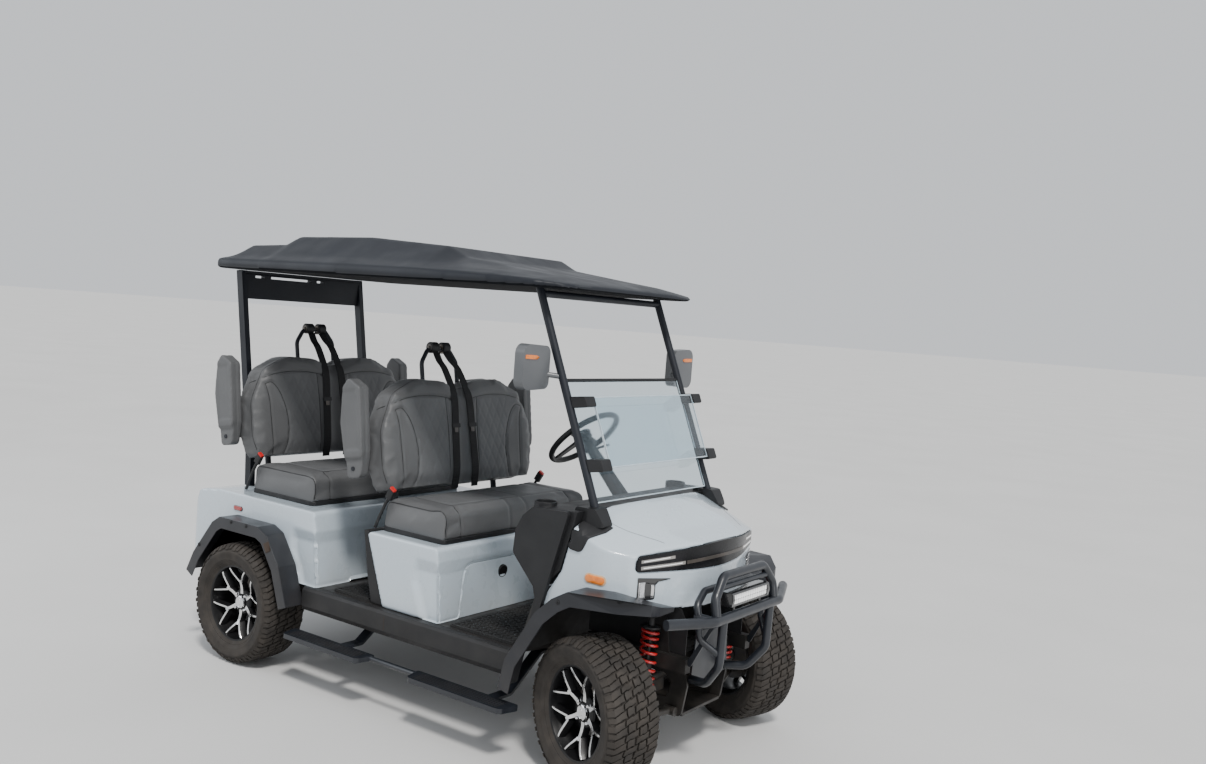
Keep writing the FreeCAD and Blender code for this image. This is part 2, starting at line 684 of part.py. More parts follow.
body_top = size.rear_body_height
body_low = floor_top + size.seat_gap
rear_outline = at(rear_axle, [(-520, body_low, 20), (-516, 690, 60), (-455, 780, 60), (-300, body_top, 40),
                              (432, body_top, 16), (452, 640), (478, body_low)])
rear_shell = Solid("rear_shell").pad("XZ", "-rear_body_width / 2", "rear_body_width / 2", rear_outline)
tunnel_top = size.rail_rear_level + size.rail_height / 2 + 4
rear_shell.pocket("XZ", "-(rail_spacing + rail_width) / 2 - 120", "(rail_spacing + rail_width) / 2 + 120",
                  at(rear_axle, [(-530, 440), (490, 440), (490, floor_bottom - 4), (440, tunnel_top),
                                 (-490, tunnel_top), (-530, tunnel_top)]))
arch_in = size.rear_track / 2 - size.tyre_width / 2 - 26
arch_radius = size.tyre_radius + 46
arch_outline = at(rear_axle, [(-arch_radius, 430), (-arch_radius, 480), (-200, 640), (200, 640),
                              (arch_radius, 480), (arch_radius, 430)])
rear_shell.pocket("XZ", arch_in, "rear_body_width / 2 + 10", arch_outline)
rear_shell.pocket("XZ", "-rear_body_width / 2 - 10", -arch_in, arch_outline)
plan_round = Solid("rear_plan").pad("XY", 400, 900,
                                    at(rear_axle, mirrored([(-522, 600, 70), (478, 600, 24)])))
node(group("MultiCommon", [rear_shell.body, plan_round.body]), "rear_body")


# Flares: a bent skin over each wheel with a lip on its outer side, open underneath

flare_bend = 24


def flare_shell(path, low, high, outer_plan, inner_plan):
    """A skin along the path between two levels in Y, hollow up to its lip, inside a plan."""
    skin = Solid("flare_skin").pad("XZ", low, high, band(path, size.flare_width, flare_bend))
    hollow = Solid("flare_hollow").pad("XZ", low - 1, high - size.flare_wall,
                                       band(path, size.flare_width, flare_bend, -size.flare_wall))
    plans = [Solid("flare_plan").pad("XY", 200, 900, outline).body for outline in (outer_plan, inner_plan)]
    return cut(group("MultiCommon", [skin.body, plans[0]]), group("MultiCommon", [hollow.body, plans[1]]))


flare_low = size.rear_body_width / 2 + size.seat_gap
rear_flare_path = at(rear_axle, [(-362, 372), (-312, 470), (-176, 640), (-130, 668), (150, 668), (206, 645),
                                 (300, 520), (368, 345)])
rear_plan = at(rear_axle, [(-450, 0), (450, 0), (450, size.flare_out + 10), (-450, size.flare_out + 10)])
both(flare_shell(rear_flare_path, flare_low, size.flare_out, rear_plan, rear_plan), "rear_flares")

nose_side = size.nose_width / 2
front_flare_path = at(front_axle, [(-378, 300), (-352, 420), (-222, 630), (-150, 695), (-85, 732), (40, 742),
                                   (150, 738), (318, 724)])


def front_flare_plan(inset):
    """The front flare from above: its outer edge runs in towards the bumper."""
    out = size.front_flare_out - inset
    return at(front_axle, [(-450, 0), (-450, out), (150, out, 90), (330, 553 - inset), (330, 0)])


both(flare_shell(front_flare_path, nose_side + size.seat_gap, size.front_flare_out, front_flare_plan(0),
                 front_flare_plan(size.flare_wall)), "front_flares")


# Nose body: hood, sides and lower front

crown_radius = 1500
crown_edge = nose_side + 60
hood_top = 1068
hood_slope = 24


def nose_plan_outline(grow):
    """The nose from above, moved out by grow."""
    half = [(-400, nose_side + grow), (-30, nose_side + grow, 160), (70 + grow, 488 + grow * 0.5, 70)]
    return at(front_axle, half + [(243 + grow, 0, 900)] + [(x, -y) + tuple(rest) for x, y,
                                                           *rest in reversed(half)])


def crown_outline(drop):
    """A crowned section: a wide arc with its top at hood_top - drop."""
    lean = math.asin(crown_edge / crown_radius)
    tip = crown_radius * (1 / math.cos(lean) - 1) - drop
    end = -crown_radius * (1 - math.cos(lean)) - drop
    return [(-crown_edge, end - 700), (crown_edge, end - 700), (crown_edge, end),
            (0, tip, crown_radius * 0.999), (-crown_edge, end)]


nose_outline = at(front_axle, [(-302, 640), (-286, 700), (-222, 800), (-160, 1046), (-105, hood_top, 60),
                               (70, 968, 160),
                               (188, 927, 20), (200, 830), (216, 700, 30), (196, 664), (60, 700), (-60, 700)])
nose_block = Solid("nose_block").pad("XZ", "-nose_width / 2", "nose_width / 2", nose_outline)
nose_plan = Solid("nose_plan").pad("XY", 500, 1200, nose_plan_outline(0))
crown = Solid("crown").pad("YZ", -400, 500, crown_outline(0))
crown_sloped = placed(crown.body, Placement(Vector(front_axle - 105, 0, hood_top),
                                            Rotation(Vector(0, 1, 0), hood_slope)))
nose_whole = group("MultiCommon", [nose_block.body, nose_plan.body, crown_sloped])

# The headlight bar lies in a recess round the nose.
bar_depth, bar_proud = 14, 3


def bar_front(grow):
    """The headlight bar from the front, a band that lifts towards the middle."""
    half = [(470 + grow, 838 - grow, 16), (462 + grow, 898 + grow, 16)]
    return [(0, 826 - grow, 1500), half[0], half[1], (0, 934 + grow, 1500), (-half[1][0],) + half[1][1:],
            (-half[0][0],) + half[0][1:]]


def bar_ring(outer, inner, grow, name):
    ring = Solid(name).pad("XY", 780, 980, nose_plan_outline(outer))
    ring.pocket("XY", 780, 980, nose_plan_outline(inner))
    front = Solid(name + "_front").pad("YZ", front_axle + 20, front_axle + 300, bar_front(grow))
    return group("MultiCommon", [ring.body, front.body], name)


recess = bar_ring(80, -bar_depth, size.seat_gap, "bar_recess")
nose = cut(nose_whole, recess, "nose_body")
node(nose, "nose_body")
node(bar_ring(bar_proud, -bar_depth + size.seat_gap, 0, "lamp_ring"), "headlight_bar")


# Dash, with a cup holder at each end and open pockets

dash_half = nose_side - 1
dash = Solid("dash_block").pad("XZ", "-nose_width / 2 + 1", "nose_width / 2 - 1",
                               at(front_axle, [(-440, 930, 20), (-422, 990, 16), (-371, 1030, 14),
                                               (-164, 1044),
                                               (-226, 800), (-300, 722), (-400, 800, 30), (-452, 858, 20)]))
for low, high in ((-470, -300), (-250, -40), (120, 180), (420, 480)):
    dash.pocket("XZ", low, high, at(front_axle, [(-480, 900), (-320, 880), (-320, 965), (-480, 985)]))
cup_place = (front_axle - 366, nose_side - 58)
cup_top = 1052
cup_parts = []
for side in (-1, 1):
    middle = (cup_place[0], side * cup_place[1])
    cup_parts.append(cylinder("cup_radius + 7", middle + (cup_top - 60,), middle + (cup_top,)))
dash_joined = group("MultiFuse", [dash.body] + cup_parts)
cup_bores = [cylinder("cup_radius", (cup_place[0], side * cup_place[1], cup_top - size.cup_depth),
                      (cup_place[0], side * cup_place[1], cup_top + 5)) for side in (-1, 1)]
dash_whole = cut(dash_joined, group("Compound", cup_bores), "dash")
node(dash_whole, "dash")


# Cowl side panels and the covers at the feet of the front pillars

panel_in = nose_side + size.seat_gap
panel = Solid("side_panel").pad("XZ", panel_in, panel_in + size.panel_thickness,
                                at(front_axle, [(-452, 929, 20), (-418, 992, 20), (-371, 1033, 20),
                                                (-189, 1040, 14),
                                                (-200, 1000), (-302, 622), (-300, 560), (-380, 455),
                                                (-392, 446), (-347, 558),
                                                (-328, 672, 20), (-342, 716, 20), (-458, 833, 30)]))
flare_room = Solid("flare_room").pad("XZ", nose_side - 5, nose_side + 120,
                                     band(front_flare_path, size.flare_width + 2 * size.seat_gap, 24))
pillar_foot = (front_axle - 158, 1056)
cover = Solid("pillar_cover").pad("XZ", size.pillar_spacing / 2 - 44, size.pillar_spacing / 2 + 60,
                                  at(front_axle, [(-232, 985), (-205, 1056, 12), (-118, 1056, 16),
                                                  (-72, 985, 8)]))
cover_plan = Solid("cover_plan").pad("XY", 900, 1200,
                                     at(front_axle, [(-232, size.pillar_spacing / 2 - 44),
                                                     (-72, size.pillar_spacing / 2 - 20, 20),
                                                     (-72, size.pillar_spacing / 2 + 40, 30),
                                                     (-150, size.pillar_spacing / 2 + 60, 20),
                                                     (-232, size.pillar_spacing / 2 + 60)]))
cover_part = cut(group("MultiCommon", [cover.body, cover_plan.body]),
                 group("Compound", [nose_whole, dash_joined]))
panel_part = cut(panel.body, flare_room.body)
both(group("Compound", [panel_part, cover_part]), "cowl_side_panels")


# Front pillars on their covers, up to the roof

def pillar_point(level, forward=0.0):
    """A point in the pillars' plane at a height, moved square to it by forward."""
    rise = math.hypot(1, size.pillar_slope)
    return (pillar_foot[0] - size.pillar_slope * (level - pillar_foot[1]) + forward / rise,
            level + forward * size.pillar_slope / rise)


pillar_y = size.pillar_spacing / 2
low_end, high_end = pillar_point(pillar_foot[1] - 40), pillar_point(size.roof_level + 40)
pillar_bar = cylinder("pillar_radius", (low_end[0], pillar_y, low_end[1]),
                      (high_end[0], pillar_y, high_end[1]))
header_level = size.roof_level - 24
header_x = pillar_point(header_level)[0]
header = cylinder(15, (header_x, -pillar_y, header_level), (header_x, pillar_y, header_level))
slab = Solid("pillar_room").pad("XY", pillar_foot[1], "roof_level",
                                mirrored([(front_axle - 900, 700), (front_axle + 100, 700)]))
pillars = group("MultiFuse", [pillar_bar, across(pillar_bar), header])
node(group("MultiCommon", [pillars, slab.body]), "front_pillars")


# Rear pillars with the cross panel under the roof

rear_pillar_y = size.rear_pillar_spacing / 2
rear_pillar_path = at(rear_axle, [(-318, body_top - 14), (-330, 1000), (-420, 1520), (-488, size.roof_level)])
strut = Solid("rear_strut").pad("XZ", rear_pillar_y - 15, rear_pillar_y + 15,
                                band(rear_pillar_path, size.rear_pillar_width, 40))
cross_panel = Solid("cross_panel").pad("YZ", rear_axle - 494, rear_axle - 462,
                                       [(-rear_pillar_y, 1768, 20), (rear_pillar_y, 1768, 20),
                                        (rear_pillar_y, size.roof_level - 14, 8),
                                        (-rear_pillar_y, size.roof_level - 14, 8)])
# Light slits along the top of the panel
cross_panel.pocket("YZ", rear_axle - 500, rear_axle - 450,
                   *[[(low, 1880, 4), (high, 1880, 4), (high, 1892, 4), (low, 1892, 4)]
                     for low, high in ((-330, -270), (-230, 40), (80, 130))])
strut_parts = group("MultiFuse", [strut.body, across(strut.body), cross_panel.body])
top_room = Solid("top_room").pad("XY", body_top, "roof_level",
                                 mirrored([(rear_axle - 700, 700), (rear_axle + 100, 700)]))
node(group("MultiCommon", [strut_parts, top_room.body]), "rear_pillars")


# Roof: one shell with a brim, a deck and a raised crest, through cross sections

rise = size.roof_level
half_roof = size.roof_width / 2
# Columns: place along X, brim half width, brim low, brim high, deck half width, deck, crest half width, crest
roof_rear = at(rear_axle, [
    (-560, 0.68, 8, 48, 0.65, 51, 0.60, 53),
    (-500, 0.86, 2, 46, 0.82, 54, 0.74, 58),
    (-390, 0.985, 0, 45, 0.93, 55, 0.80, 60),
    (-300, 0.995, 0, 45, 0.91, 66, 0.76, 128),
    (-60, 1.0, 0, 45, 0.90, 70, 0.73, 138),
    (0, 1.0, 0, 45, 0.90, 75, 0.68, 182),
    (500, 1.0, 0, 46, 0.89, 80, 0.67, 190),
])
roof_front = at(front_axle, [
    (-1080, 0.99, 0, 46, 0.88, 76, 0.66, 162),
    (-980, 0.985, 0, 45, 0.88, 70, 0.64, 116),
    (-680, 0.96, -2, 40, 0.85, 60, 0.61, 78),
    (-460, 0.91, -8, 30, 0.80, 40, 0.58, 52),
    (-360, 0.80, -12, 20, 0.70, 26, 0.50, 32),
    (-322, 0.66, -10, 12, 0.60, 15, 0.45, 18),
])
sections = []
for x, brim, low, high, deck, deck_rise, crest, crest_rise in roof_rear + roof_front:
    low = max(low, 0)
    high = max(high, low + 8)
    half = [(brim - 0.02, low), (brim, low + 6), (brim, high), (deck, max(deck_rise, high + 2)),
            (crest, max(crest_rise, high + 4))]
    half = [(share * half_roof, rise + up) for share, up in half]
    sections.append([(x, y, z) for y, z in half] + [(x, -y, z) for y, z in reversed(half)])
node(loft(sections, "roof"), "roof")


# Windshield: a fixed lower pane between the pillars, and the upper pane folded down before it

pane_side = pillar_y - size.pillar_radius - size.seat_gap
lower_pane = Solid("lower_pane").pad("XZ", -pane_side, pane_side,
                                     band([pillar_point(pillar_foot[1] + 10), pillar_point(1540)],
                                          size.glass_thickness))
fold = 78
upper_half = pillar_y - size.glass_inset
upper_pane = Solid("upper_pane").pad("XZ", "-pillar_spacing / 2 + glass_inset",
                                     "pillar_spacing / 2 - glass_inset",
                                     band([pillar_point(1180, fold), pillar_point(1455, fold)],
                                          size.glass_thickness))
node(group("Compound", [lower_pane.body, upper_pane.body]), "windshield")

clamp_in = upper_half + size.seat_gap
clamp_parts = []
# Clamps: lowest and highest level along the pillar
for low, high in ((1172, 1232), (1420, 1475)):
    back = size.pillar_radius + size.seat_gap
    outline = [pillar_point(low + 10, back), pillar_point(low - 6, fold + 12) + (8,),
               pillar_point(high - 20, fold + 12) + (8,), pillar_point(high, back)]
    clamp_parts.append(Solid("clamp").pad("XZ", clamp_in, pillar_y + 8, outline).body)
both(group("Compound", clamp_parts), "windshield_clamps")


# Mirrors on arms from the pillars

mirror_x, mirror_y, mirror_z = front_axle - 437, pillar_y + 118, 1592
housing_half, housing_tall = 84, 95
mirror_shell = Solid("mirror").pad("YZ", mirror_x - 22, mirror_x + 26,
                                   [(mirror_y - housing_half, mirror_z - housing_tall + 8, 30),
                                    (mirror_y + housing_half, mirror_z - housing_tall, 40),
                                    (mirror_y + housing_half, mirror_z + housing_tall, 40),
                                    (mirror_y - housing_half, mirror_z + housing_tall - 8, 30)])
mirror_shell.pocket("YZ", mirror_x - 30, mirror_x - 16,
                    [(mirror_y - housing_half + 8, mirror_z - housing_tall + 14, 24),
                     (mirror_y + housing_half - 8, mirror_z - housing_tall + 9, 32),
                     (mirror_y + housing_half - 8, mirror_z + housing_tall - 9, 32),
                     (mirror_y - housing_half + 8, mirror_z + housing_tall - 14, 24)])
arm_level = mirror_z - 34
arm_x = pillar_point(arm_level)[0]
mirror_arm = cylinder(11, (arm_x, pillar_y, arm_level), (mirror_x + 6, mirror_y - housing_half + 14,
                                                         arm_level + 6))
pillar_room = cylinder("pillar_radius + seat_gap", (low_end[0], pillar_y, low_end[1]),
                       (high_end[0], pillar_y, high_end[1]))
arm_end_room = Solid("arm_end_room").pad("XZ", 0, pillar_y,
                                         [(arm_x - 60, arm_level - 60), (arm_x + 60, arm_level - 60),
                                                            (arm_x + 60, arm_level + 60),
                                          (arm_x - 60, arm_level + 60)])
both(cut(group("MultiFuse", [mirror_shell.body, mirror_arm]),
         group("Compound", [pillar_room, arm_end_room.body])), "mirrors")


# Seats: each bench has a cushion, a backrest on a tube frame, belts on a hoop and two armrests

half_back = size.back_thickness / 2
frame_tube = 15
frame_back = half_back + frame_tube + size.seat_gap
pivot_rise = 130
frames, hoops, belts = [], [], []
# Columns: name, place of the backrest's foot, height of the seat base, cushion's rear and front
benches = (
    ("front", pod_middle - 218, size.pod_height, pod_middle - 194, pod_middle + 200),
    ("rear", rear_axle - 172, size.rear_body_height, rear_axle - 150, rear_axle + 322),
)
tilt = Rotation(Vector(0, 1, 0), -size.back_tilt)
for name, foot_x, base, cushion_rear, cushion_front in benches:
    cushion_low = base + size.seat_plate + 2 * size.seat_gap
    cushion_top = cushion_low + size.cushion_height
    cushion = Solid(name + "_cushion").pad("XZ", "-cushion_width / 2", "cushion_width / 2",
                                           [(cushion_rear, cushion_low, 20), (cushion_front, cushion_low, 24),
                                            (cushion_front, cushion_top, 44),
                                            (cushion_rear, cushion_top, 30)])
    node(cushion.body, name + "_cushion")

    foot = Vector(foot_x, 0, cushion_top + 8)
    leaning = Placement(foot, tilt)
    top = size.back_height
    back_outline = balanced([(500, 0, 40), (540, 110, 60), (540, top - 240, 90), (455, top - 70, 90),
                             (300, top, 140), (110, top - 8, 140), (20, top - 44)])
    back = Solid(name + "_backrest").pad("YZ", "-back_thickness / 2", "back_thickness / 2", back_outline)
    back.body.Placement = leaning
    node(back.body, name + "_backrest")

    # The tube frame stands on plates under the cushion.
    drop = (cushion_top + 8 - base - 4) / math.cos(math.radians(size.back_tilt))
    bench_frame = []
    for side in (-1, 1):
        bench_frame.append(cylinder(frame_tube, (-frame_back, side * 350, -drop + 8),
                                    (-frame_back, side * 350, 330)))
    bench_frame.append(cylinder(12, (-frame_back, -350, 250), (-frame_back, 350, 250)))
    pivot_end = size.back_width / 2 + size.armrest_gap + size.armrest_width - 8
    bench_frame.append(cylinder(10, (-frame_back, -pivot_end, pivot_rise),
                                (-frame_back, pivot_end, pivot_rise)))
    leaning_frame = placed(group("MultiFuse", bench_frame), leaning)
    plate_x = leaning.multVec(Vector(-frame_back, 0, -drop)).x
    plates = [Solid("seat_plate").pad("XY", base + size.seat_gap, base + size.seat_gap + size.seat_plate,
                                      [(plate_x - 26, side * 350 - 40, 10),
                                       (plate_x + 190, side * 350 - 40, 10),
                                       (plate_x + 190, side * 350 + 40, 10),
                                       (plate_x - 26, side * 350 + 40, 10)]).body
              for side in (-1, 1)]
    above = Solid("above_plate").pad("XY", base + size.seat_gap, base + 900,
                                     mirrored([(foot_x - 400, 700), (foot_x + 400, 700)]))
    frames.append(group("MultiCommon", [group("MultiFuse", [leaning_frame] + plates), above.body]))

    # Belt hoop and its two belts
    hoop_x = -frame_back
    hoop_foot = 250 + 12 + size.seat_gap
    hoop = tube(11, [(hoop_x, -122, hoop_foot), (hoop_x, -122, 620), (hoop_x, -70, 690), (hoop_x, 70, 690),
                     (hoop_x, 122, 620), (hoop_x, 122, hoop_foot)], 50, "hoop")
    hoops.append(placed(hoop, leaning))
    for side in (-1, 1):
        path = [(hoop_x + 12.4, 668), (0, 612), (half_back + 6, 560), (half_back + 6, 30)]
        belt = Solid("belt").pad("XZ", side * 62 - 23, side * 62 + 23, band(path, 3, 24))
        belts.append(placed(belt.body, leaning))

    # Armrests stand folded up beside the backrest and turn forward about the frame's long pin.
    arm_in = size.back_width / 2 + size.armrest_gap
    arm_outline = [(-118, 86, 20), (-36, 84, 30), (-4, 200, 60), (8, 496, 26), (-62, 545, 18),
                   (-104, 505, 24), (-134, 345, 50), (-122, 200, 40)]
    for side, side_name in ((1, "left"), (-1, "right")):
        low, high = sorted((side * arm_in, side * (arm_in + size.armrest_width)))
        pad = Solid("armrest").pad("XZ", low, high, arm_outline)
        bore = cylinder("10 + running_gap", (-frame_back, side * (arm_in - 5), pivot_rise),
                        (-frame_back, side * (pivot_end + 0.3), pivot_rise))
        label = "armrest_%s_%s" % (name, side_name)
        node(placed(cut(pad.body, bore), leaning), label)
node(group("Compound", frames), "seat_frames")
node(group("Compound", hoops), "belt_hoops")
node(group("Compound", belts), "seat_belts")


# Front bumper of bent tubes on two brackets

bumper_r = size.bumper_tube / 2
bumper_x = front_axle + size.front_overhang - bumper_r
main_level = 662
main_tube = tube("bumper_tube / 2", [(bumper_x - 86, -492, main_level + 10), (bumper_x, -280, main_level),
                                     (bumper_x, 280, main_level), (bumper_x - 86, 492, main_level + 10)], 90,
                 "main_tube")
bumper_parts = [main_tube]
# Hoops: forward place, half width, height, tube radius
for hoop_x, half, rise_up, radius in ((bumper_x - 6, 245, 160, 19), (bumper_x - 74, 268, 92, 15)):
    bumper_parts.append(tube(radius, [(hoop_x, -half, main_level),
                                      (hoop_x - 14, -half, main_level + rise_up * 0.5),
                                      (hoop_x - 26, -half + 75, main_level + rise_up),
                                      (hoop_x - 26, half - 75, main_level + rise_up),
                                      (hoop_x - 14, half, main_level + rise_up * 0.5),
                                      (hoop_x, half, main_level)], 45, "hoop"))
bumper_parts.append(cylinder(12, (bumper_x - 28, -200, main_level + 118),
                             (bumper_x - 28, 200, main_level + 118)))
plate_x = front_axle + subframe_front + 20 + size.seat_gap
rail_middle = size.rail_spacing / 2
for side in (-1, 1):
    bumper_parts.append(tube(18, [(bumper_x, side * 200, main_level), (bumper_x - 4, side * 200, 470),
                                  (bumper_x - 74, side * 170, 376), (plate_x + 2, side * 140, 366)], 60,
                             "strut"))
    bumper_parts.append(tube(14, [(bumper_x - 72, side * 266, main_level + 2),
                                  (bumper_x - 70, side * 262, 580),
                                  (bumper_x - 12, side * 205, 520)], 40, "brace"))
    bumper_parts.append(cylinder(18, (bumper_x - 88, side * 267, main_level + 1),
                                 (bumper_x - 10, side * 267, main_level + 1)))
    bracket = Solid("bumper_bracket").pad("XZ", side * rail_middle - 4, side * rail_middle + 4,
                                          [(front_axle + 215.3, 430, 8), (bumper_x - 6, main_level - 16),
                                           (bumper_x - 6, main_level + 8), (front_axle + 215.3, 480, 8)])
    bumper_parts.append(bracket.body)
shield = Solid("shield").pad("YZ", plate_x, plate_x + 5,
                             [(-150, 348, 12), (150, 348, 12), (128, 560, 30), (-128, 560, 30)])
bumper_parts.append(shield.body)
bumper = group("MultiFuse", bumper_parts, "bumper")
bumper.Refine = False
node(bumper, "front_bumper")

led = Solid("led_housing").pad("XZ", -158, 158, [(bumper_x - 44, 700, 6), (bumper_x + 8, 700, 6),
                                                 (bumper_x + 14, 730, 6),
                                             (bumper_x + 8, 758, 6), (bumper_x - 44, 758, 6)])
led.pocket("YZ", bumper_x + 4, bumper_x + 20, [(-142, 709, 4), (142, 709, 4), (142, 750, 4), (-142, 750, 4)])
led_feet = [cylinder(8, (bumper_x - 10, side * 110, main_level + bumper_r + size.seat_gap),
                     (bumper_x - 10, side * 110, 710))
            for side in (-1, 1)]
node(group("MultiFuse", [led.body] + led_feet), "led_bar")


# Steering column, steering wheel and pedals

wheel_middle = Vector(front_axle - 782, 300, 1220)
column_axis = Vector(-0.70, 0, 0.714).normalize()
column_gap = 34
column_start = wheel_middle - column_axis * column_gap
column_end = wheel_middle - column_axis * 520
column_bar = doc.addObject("Part::Cone", "column_bar")
column_bar.Radius1, column_bar.Radius2 = 40, 26
column_bar.Height = (column_start - column_end).Length
column_bar.Placement = Placement(column_end, Rotation(Vector(0, 0, 1), column_axis))
stalk = cylinder(6, tuple(column_start - column_axis * 40),
                 tuple(column_start - column_axis * 20 + Vector(0, 150, 0)))
node(cut(group("MultiFuse", [column_bar, stalk]), dash_joined), "steering_column")

ring = doc.addObject("Part::Torus", "wheel_ring")
ring.setExpression("Radius1", bound("wheel_rim_radius"))
ring.Radius2 = 14
wheel_hub = cylinder(40, (0, 0, -8), (0, 0, 14))
wheel_neck = cylinder(20, (0, 0, -column_gap + size.running_gap), (0, 0, 0))
spokes = []
for angle in (0, 180, 270):
    spoke = Solid("wheel_spoke").pad("XY", -6, 5, [(20, -24), (size.wheel_rim_radius - 6, -14),
                                                   (size.wheel_rim_radius - 6, 14), (20, 24)])
    spokes.append(placed(spoke.body, Placement(Vector(), Rotation(Vector(0, 0, 1), angle))))
wheel_whole = group("MultiFuse", [ring, wheel_hub, wheel_neck] + spokes)
steer_ratio = 8
wheel_spin = Rotation(Vector(0, 0, 1), 90 + steer_ratio * size.rest_steer)
wheel_turn = Rotation(Vector(0, 0, 1), column_axis).multiply(wheel_spin)
node(placed(wheel_whole, Placement(wheel_middle, wheel_turn)), "steering_wheel")

pedal_parts = []
for pedal_y, pedal_half in ((215, 30), (335, 42)):
    arm = Solid("pedal_arm").pad("XZ", pedal_y - 8, pedal_y + 8,
                                 band(at(front_axle, [(-351.4, 657), (-424, 604), (-442, 536)]), 12, 16))
    face = Solid("pedal_face").pad("XZ", pedal_y - pedal_half, pedal_y + pedal_half,
                                   band(at(front_axle, [(-430, 592), (-450, 512)]), 12))
    pedal_parts.append(group("MultiFuse", [arm.body, face.body]))
node(group("Compound", pedal_parts), "pedals")


# Tail lamps on the rear corners

lamp = Solid("tail_lamp").pad("YZ", rear_axle - 529, rear_axle - 500,
                              [(440, 600, 16), (512, 600, 16), (512, 728, 16), (440, 728, 16)])
both(cut(lamp.body, doc.getObject("rear_shell")), "tail_lamps")


# Wheels: tyre and rim turned about Y, outboard towards +Y, the rim with six forked spokes

bead = 84
half_tyre = size.tyre_width / 2
tread = size.tread_width / 2
lip_radius = size.rim_radius + 14
tyre_outline = mirrored([(size.rim_radius + size.bead_gap, bead), (lip_radius + 0.5, bead + 2.6),
                         (lip_radius + 8, bead + 14), (222, half_tyre - 4), (246, half_tyre),
                         (266, half_tyre - 6),
                         (size.tyre_radius - 7, tread - 2), (size.tyre_radius - 2, tread - 30),
                         (size.tyre_radius, tread - 66)])
tyre = Solid("tyre").revolve(tyre_outline)

half_rim = size.rim_width / 2
inner_barrel = size.rim_radius - size.rim_wall
bead_seat = bead + 0.6
lip_in, lip_out = half_rim - 1.6, half_rim + 5
barrel_outline = mirrored([(size.rim_radius, bead_seat), (lip_radius, lip_in), (lip_radius, lip_out),
                           (inner_barrel + 2, lip_out, 4), (inner_barrel - 4, 60)])
barrel = Solid("rim_barrel").revolve(barrel_outline)
dish = Solid("rim_dish").revolve([(0, 30), (60, 30), (inner_barrel + 2, 56), (inner_barrel + 2, bead),
                                  (112, 62), (60, 50), (0, 50)])
hub_pad = cylinder("hub_radius", (0, size.hub_seat + size.seat_gap, 0), (0, 52, 0))
fork_reach = inner_barrel + 1
fork_angle = math.radians(15)
spoke_parts = []
stem = Solid("spoke_stem").pad("XZ", 0, 100, band([(40, 0), (112, 0)], 30))
spoke_parts.append(stem.body)
for side in (-1, 1):
    tip = (fork_reach * math.cos(fork_angle), side * fork_reach * math.sin(fork_angle))
    prong = Solid("spoke_prong").pad("XZ", 0, 100, band([(100, side * 5), tip], 17))
    spoke_parts.append(prong.body)
spoke = group("MultiCommon", [group("MultiFuse", spoke_parts), dish.body])
spoke_count = 6
spoke_set = [placed(spoke, Placement(Vector(), Rotation(Vector(0, 1, 0), 30 + turn * 360 / spoke_count)))
             for turn in range(spoke_count)]
rim = group("MultiFuse", [barrel.body, hub_pad] + spoke_set, "rim")

straight_left = Rotation()
straight_right = Rotation(Vector(0, 0, 1), 180)
front_offset = size.front_track / 2 - kingpin
wheel_places = {
    "front_left": Placement(left_kingpin + Vector(0, 0, axle_height) + turned.multVec(Vector(0, front_offset,
                                                                                             0)), turned),
    "front_right": Placement(right_kingpin + Vector(0, 0,
                                                    axle_height) + turned.multVec(Vector(0, -front_offset,
                                                                                         0)),
                             turned.multiply(straight_right)),
    "rear_left": Placement(Vector(rear_axle, size.rear_track / 2, axle_height), straight_left),
    "rear_right": Placement(Vector(rear_axle, -size.rear_track / 2, axle_height), straight_right),
}
for place_name, place in wheel_places.items():
    node(placed(tyre.body, place), "tyre_" + place_name)
    node(placed(rim, place), "rim_" + place_name)


doc.recompute()

broken = [thing.Name for thing in doc.Objects if {"Invalid", "Error"} & set(thing.State)]
if broken:
    raise RuntimeError("failed: " + ", ".join(broken))
for thing in nodes:
    shape = thing.Shape
    if shape.isNull() or not shape.isValid():
        raise RuntimeError("bad shape: " + thing.Label)

for thing in nodes:
    thing.Shape.exportStep("parts/%s.step" % thing.Label)
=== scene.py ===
import json
import math

import bmesh
import bpy
from mathutils import Matrix, Vector
from mathutils.bvhtree import BVHTree

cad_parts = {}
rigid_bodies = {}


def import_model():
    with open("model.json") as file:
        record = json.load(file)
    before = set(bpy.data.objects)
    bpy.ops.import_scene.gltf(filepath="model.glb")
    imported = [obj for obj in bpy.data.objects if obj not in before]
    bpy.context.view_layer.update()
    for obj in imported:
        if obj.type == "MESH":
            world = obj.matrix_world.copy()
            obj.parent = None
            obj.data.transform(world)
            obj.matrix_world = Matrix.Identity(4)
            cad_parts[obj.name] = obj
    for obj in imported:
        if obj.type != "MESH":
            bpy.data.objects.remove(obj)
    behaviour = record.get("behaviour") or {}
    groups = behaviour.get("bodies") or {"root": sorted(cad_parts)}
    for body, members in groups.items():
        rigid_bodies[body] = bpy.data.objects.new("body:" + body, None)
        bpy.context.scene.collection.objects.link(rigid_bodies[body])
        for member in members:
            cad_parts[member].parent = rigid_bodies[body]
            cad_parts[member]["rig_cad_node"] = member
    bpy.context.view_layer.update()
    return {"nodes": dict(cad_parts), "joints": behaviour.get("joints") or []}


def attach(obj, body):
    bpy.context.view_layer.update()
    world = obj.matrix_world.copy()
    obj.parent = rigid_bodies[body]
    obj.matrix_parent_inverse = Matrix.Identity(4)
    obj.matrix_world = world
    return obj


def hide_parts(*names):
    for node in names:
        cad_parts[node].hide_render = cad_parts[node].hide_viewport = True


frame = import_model()

